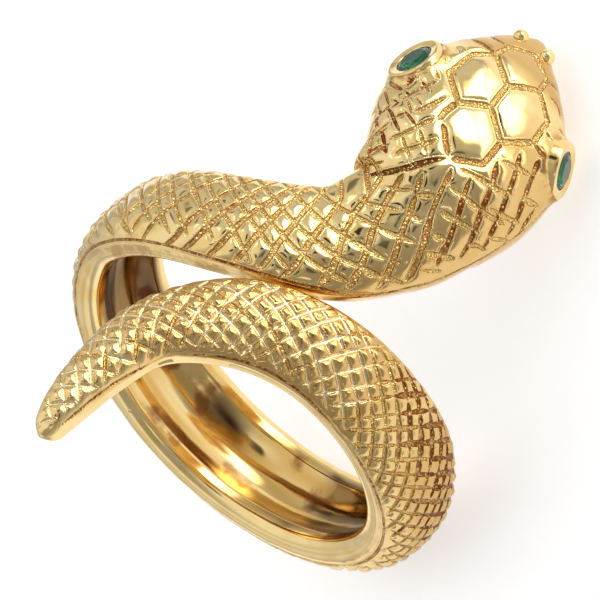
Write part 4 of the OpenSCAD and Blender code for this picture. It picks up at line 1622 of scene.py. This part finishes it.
@dataclass(frozen=True)
class StudioBoard(Finish):
    """Opal acrylic sheet, sanded matt, with painted glow in its emission round the part.

    It reads as an even pale ground, and the gold mirrors it dimmer further out. Each painted glow
    has its place, the reach of its full light and of its last light, in metres, and its strength. The
    three bright ones lie outside the picture, where the gold mirrors them as it would lamps.
    """
    white: str = "D2D2D2"
    shade: str = "CCCCCC"
    light: str = "FFFFFF"
    tooth_mm: float = 1.5
    painted_glows: tuple[tuple[float, float, float, float, float], ...] = (
        (0.002, -0.012, 0.03, 0.08, 0.6), (-0.0257, 0.0287, 0.004, 0.017, 1.9),
        (-0.0594, 0.0476, 0.012, 0.042, 3.0), (-0.1687, 0.0995, 0.04, 0.11, 3.4))

    def build(self) -> bpy.types.Material:
        """Make the material.

        Returns:
            The material.
        """
        material, tree, shader = self.start()
        where = add_node(tree, "ShaderNodeTexCoord").outputs["Object"]
        tooth = add_node(tree, "ShaderNodeTexNoise", {},
                         {"Vector": where, "Scale": PER_MM / self.tooth_mm, "Detail": 3.0})
        colour = add_node(tree, "ShaderNodeMix", BLEND,
                          {0: tooth, 6: linear(self.white), 7: linear(self.shade)}).outputs[2]
        glow: float | bpy.types.Node = 0.0
        # painted glow: the sheet's emission is bright round each of these places
        for x, y, full, last, strength in self.painted_glows:
            away = add_node(tree, "ShaderNodeVectorMath", {"operation": "DISTANCE"},
                            {0: where, 1: (x, y, 0.0)})
            lit = add_node(tree, "ShaderNodeMapRange", SOFT, {
                "Value": away.outputs["Value"], "From Min": full, "From Max": last, "To Min": strength,
                "To Max": 0.0})
            glow = add_node(tree, "ShaderNodeMath", {"operation": "ADD"}, {0: lit, 1: glow})
        tree.links.new(colour, shader.inputs["Base Color"])
        tree.links.new(glow.outputs[0], shader.inputs["Emission Strength"])
        shader.inputs["Emission Color"].default_value = linear(self.light)
        shader.inputs["Roughness"].default_value = 0.8
        shader.inputs["Specular IOR Level"].default_value = 0.2
        return material


@dataclass(frozen=True)
class Glow:
    """A soft bright or dark field of the studio, by where it lies round the part.

    The azimuth turns from -Y towards +X and the elevation is up from the floor. The field is even
    out to the inner angle and has gone at the outer one. All are in degrees.
    """
    azimuth: float
    elevation: float
    inner: float
    outer: float
    light: float

    def way(self) -> tuple[float, float, float]:
        """The direction from the part to the field's middle."""
        a, e = math.radians(self.azimuth), math.radians(self.elevation)
        return math.sin(a) * math.cos(e), -math.cos(a) * math.cos(e), math.sin(e)


@dataclass
class Studio:
    """The pale floor, the soft light round the part and the camera.

    The camera's distance from the part's middle and its aim beside it are in metres, and its lens and
    sensor in millimetres. Its axes were fitted to the photograph's outline.
    """
    right: tuple[float, float, float] = (-0.1505, 0.5997, -0.7860)
    up: tuple[float, float, float] = (-0.9883, -0.1123, 0.1036)
    back: tuple[float, float, float] = (-0.0262, 0.7923, 0.6095)
    distance: float = 0.35
    lens: float = 442.5
    sensor: float = 36
    aim: tuple[float, float] = (0.001737, 0.003431)
    ambient: float = 0.64
    glows: tuple[Glow, ...] = (
        Glow(-30, 80, 30, 65, 0.9), Glow(118, 10, 45, 75, 0.36), Glow(-178, 20, 22, 46, 0.38),
        Glow(-117, 1, 6, 25, 5.2), Glow(-129, 35, 4, 10, 0.03), Glow(-154, 60, 5, 11, 0.03),
        Glow(-162, 30, 4, 12, 0.12), Glow(-85, 42, 3, 9, 1.7), Glow(-60, 22, 4, 12, 0.2),
        Glow(155, 32, 3, 9, 1.1), Glow(58, 8, 12, 26, 0.85))
    sky: str = "FCFDFF"
    floor_reach: float = 3.0
    overhead_place: tuple[float, float, float] = (-0.15, 0.05, 0.6)
    overhead_aim: tuple[float, float, float] = (0.0, 0.0, 0.01)
    overhead_size: tuple[float, float] = (0.5, 0.4)
    overhead_watts: float = 0.3
    overhead_white: str = "F8FBFF"

    def build(self) -> None:
        """Set the floor, the light and the camera."""
        self._floor()
        self._sky()
        self._overhead()
        self._camera()
        settings = bpy.context.scene.view_settings
        settings.view_transform, settings.look, settings.exposure = "Standard", "None", 0.0

    def _floor(self) -> None:
        """Lay the pale floor."""
        mesh = bpy.data.meshes.new("studio_floor")
        corners = [(x * self.floor_reach, y * self.floor_reach, 0)
                   for x, y in ((-1, -1), (1, -1), (1, 1), (-1, 1))]
        mesh.from_pydata(corners, [], [(0, 1, 2, 3)])
        mesh.materials.append(StudioBoard("opal acrylic sanded matt").build())
        floor = bpy.data.objects.new("studio_floor", mesh)
        bpy.context.scene.collection.objects.link(floor)

    def _sky(self) -> None:
        """Shape the soft light round the part."""
        world = bpy.data.worlds.new("soft studio")
        bpy.context.scene.world = world
        world.use_nodes = True
        tree = world.node_tree
        tree.nodes.clear()
        way = add_node(tree, "ShaderNodeTexCoord").outputs["Generated"]
        light: float | bpy.types.Node = self.ambient
        for glow in self.glows:
            facing = add_node(tree, "ShaderNodeVectorMath", {"operation": "DOT_PRODUCT"},
                              {0: way, 1: glow.way()}).outputs["Value"]
            share = add_node(tree, "ShaderNodeMapRange", SOFT, {
                "Value": facing, "From Min": math.cos(math.radians(glow.outer)),
                "From Max": math.cos(math.radians(glow.inner))})
            light = add_node(tree, "ShaderNodeMix", {"data_type": "FLOAT"},
                             {0: share, 2: light, 3: glow.light})
        shader = add_node(tree, "ShaderNodeBackground", {}, {"Color": linear(self.sky), "Strength": light})
        add_node(tree, "ShaderNodeOutputWorld", {}, {"Surface": shader})

    def _overhead(self) -> None:
        """Hang one large soft box over the part, for the floor. The gold doesn't mirror it."""
        lamp = bpy.data.lights.new("overhead_softbox", "AREA")
        lamp.shape = "RECTANGLE"
        lamp.size, lamp.size_y = self.overhead_size
        lamp.energy = self.overhead_watts
        lamp.color = linear(self.overhead_white)[:3]
        made = bpy.data.objects.new("overhead_softbox", lamp)
        made.location = self.overhead_place
        way = Vector(self.overhead_aim) - made.location
        made.rotation_euler = way.to_track_quat("-Z", "Y").to_euler()
        made.visible_glossy = False
        bpy.context.scene.collection.objects.link(made)

    def _camera(self) -> None:
        """Set the camera at the photograph's angle."""
        middle = Vector(MIDDLE) * MM
        right, up, back = Vector(self.right), Vector(self.up), Vector(self.back)
        place = middle + back * self.distance
        target = middle + right * self.aim[0] + up * self.aim[1]
        z = (place - target).normalized()
        x = up.cross(z).normalized()
        turn = Matrix((x, z.cross(x), z)).transposed().to_4x4()
        data = bpy.data.cameras.new("camera")
        data.lens, data.sensor_width = self.lens, self.sensor
        data.clip_start, data.clip_end = 0.01, 20
        camera = bpy.data.objects.new("camera", data)
        camera.matrix_world = Matrix.Translation(place) @ turn
        bpy.context.scene.collection.objects.link(camera)
        bpy.context.scene.camera = camera


def main() -> None:
    """Build the ring piece by piece and set the studio round it."""
    logging.basicConfig(level=logging.INFO, format="%(message)s")
    Studio().build()
    path = SnakePath()
    gold = {Zone.BACK: CutGold("cast gold cut with a graver").build(),
            Zone.RIM: SmoothGold("cast gold hand buffed").build(),
            Zone.BORE: BoreGold("cast gold tumbled bright").build()}
    body = SnakeBody(path, Lattice())
    snake = body.cut(body.build(), gold)
    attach(snake, "root")
    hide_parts("gold_snake")
    LOG.info("%s: %d triangles", snake.name, len(snake.data.polygons))
    polished = SmoothGold("cast gold polished", gloss=0.1, ripple_height_mm=0.004, pit_depth_mm=0.0).build()
    for piece in [EyeMount(eye).build() for eye in Eye] + Nostrils(path).build():
        piece.data.materials.append(polished)
        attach(piece, "root")
        LOG.info("%s: %d faces", piece.name, len(piece.data.polygons))
    green = Emerald("polished emerald").build()
    for name in ("left_eye_emerald", "right_eye_emerald"):
        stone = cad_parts[name]
        stone.data.materials.clear()
        stone.data.materials.append(green)
        LOG.info("%s: dressed", name)


if __name__ == "__main__":
    main()
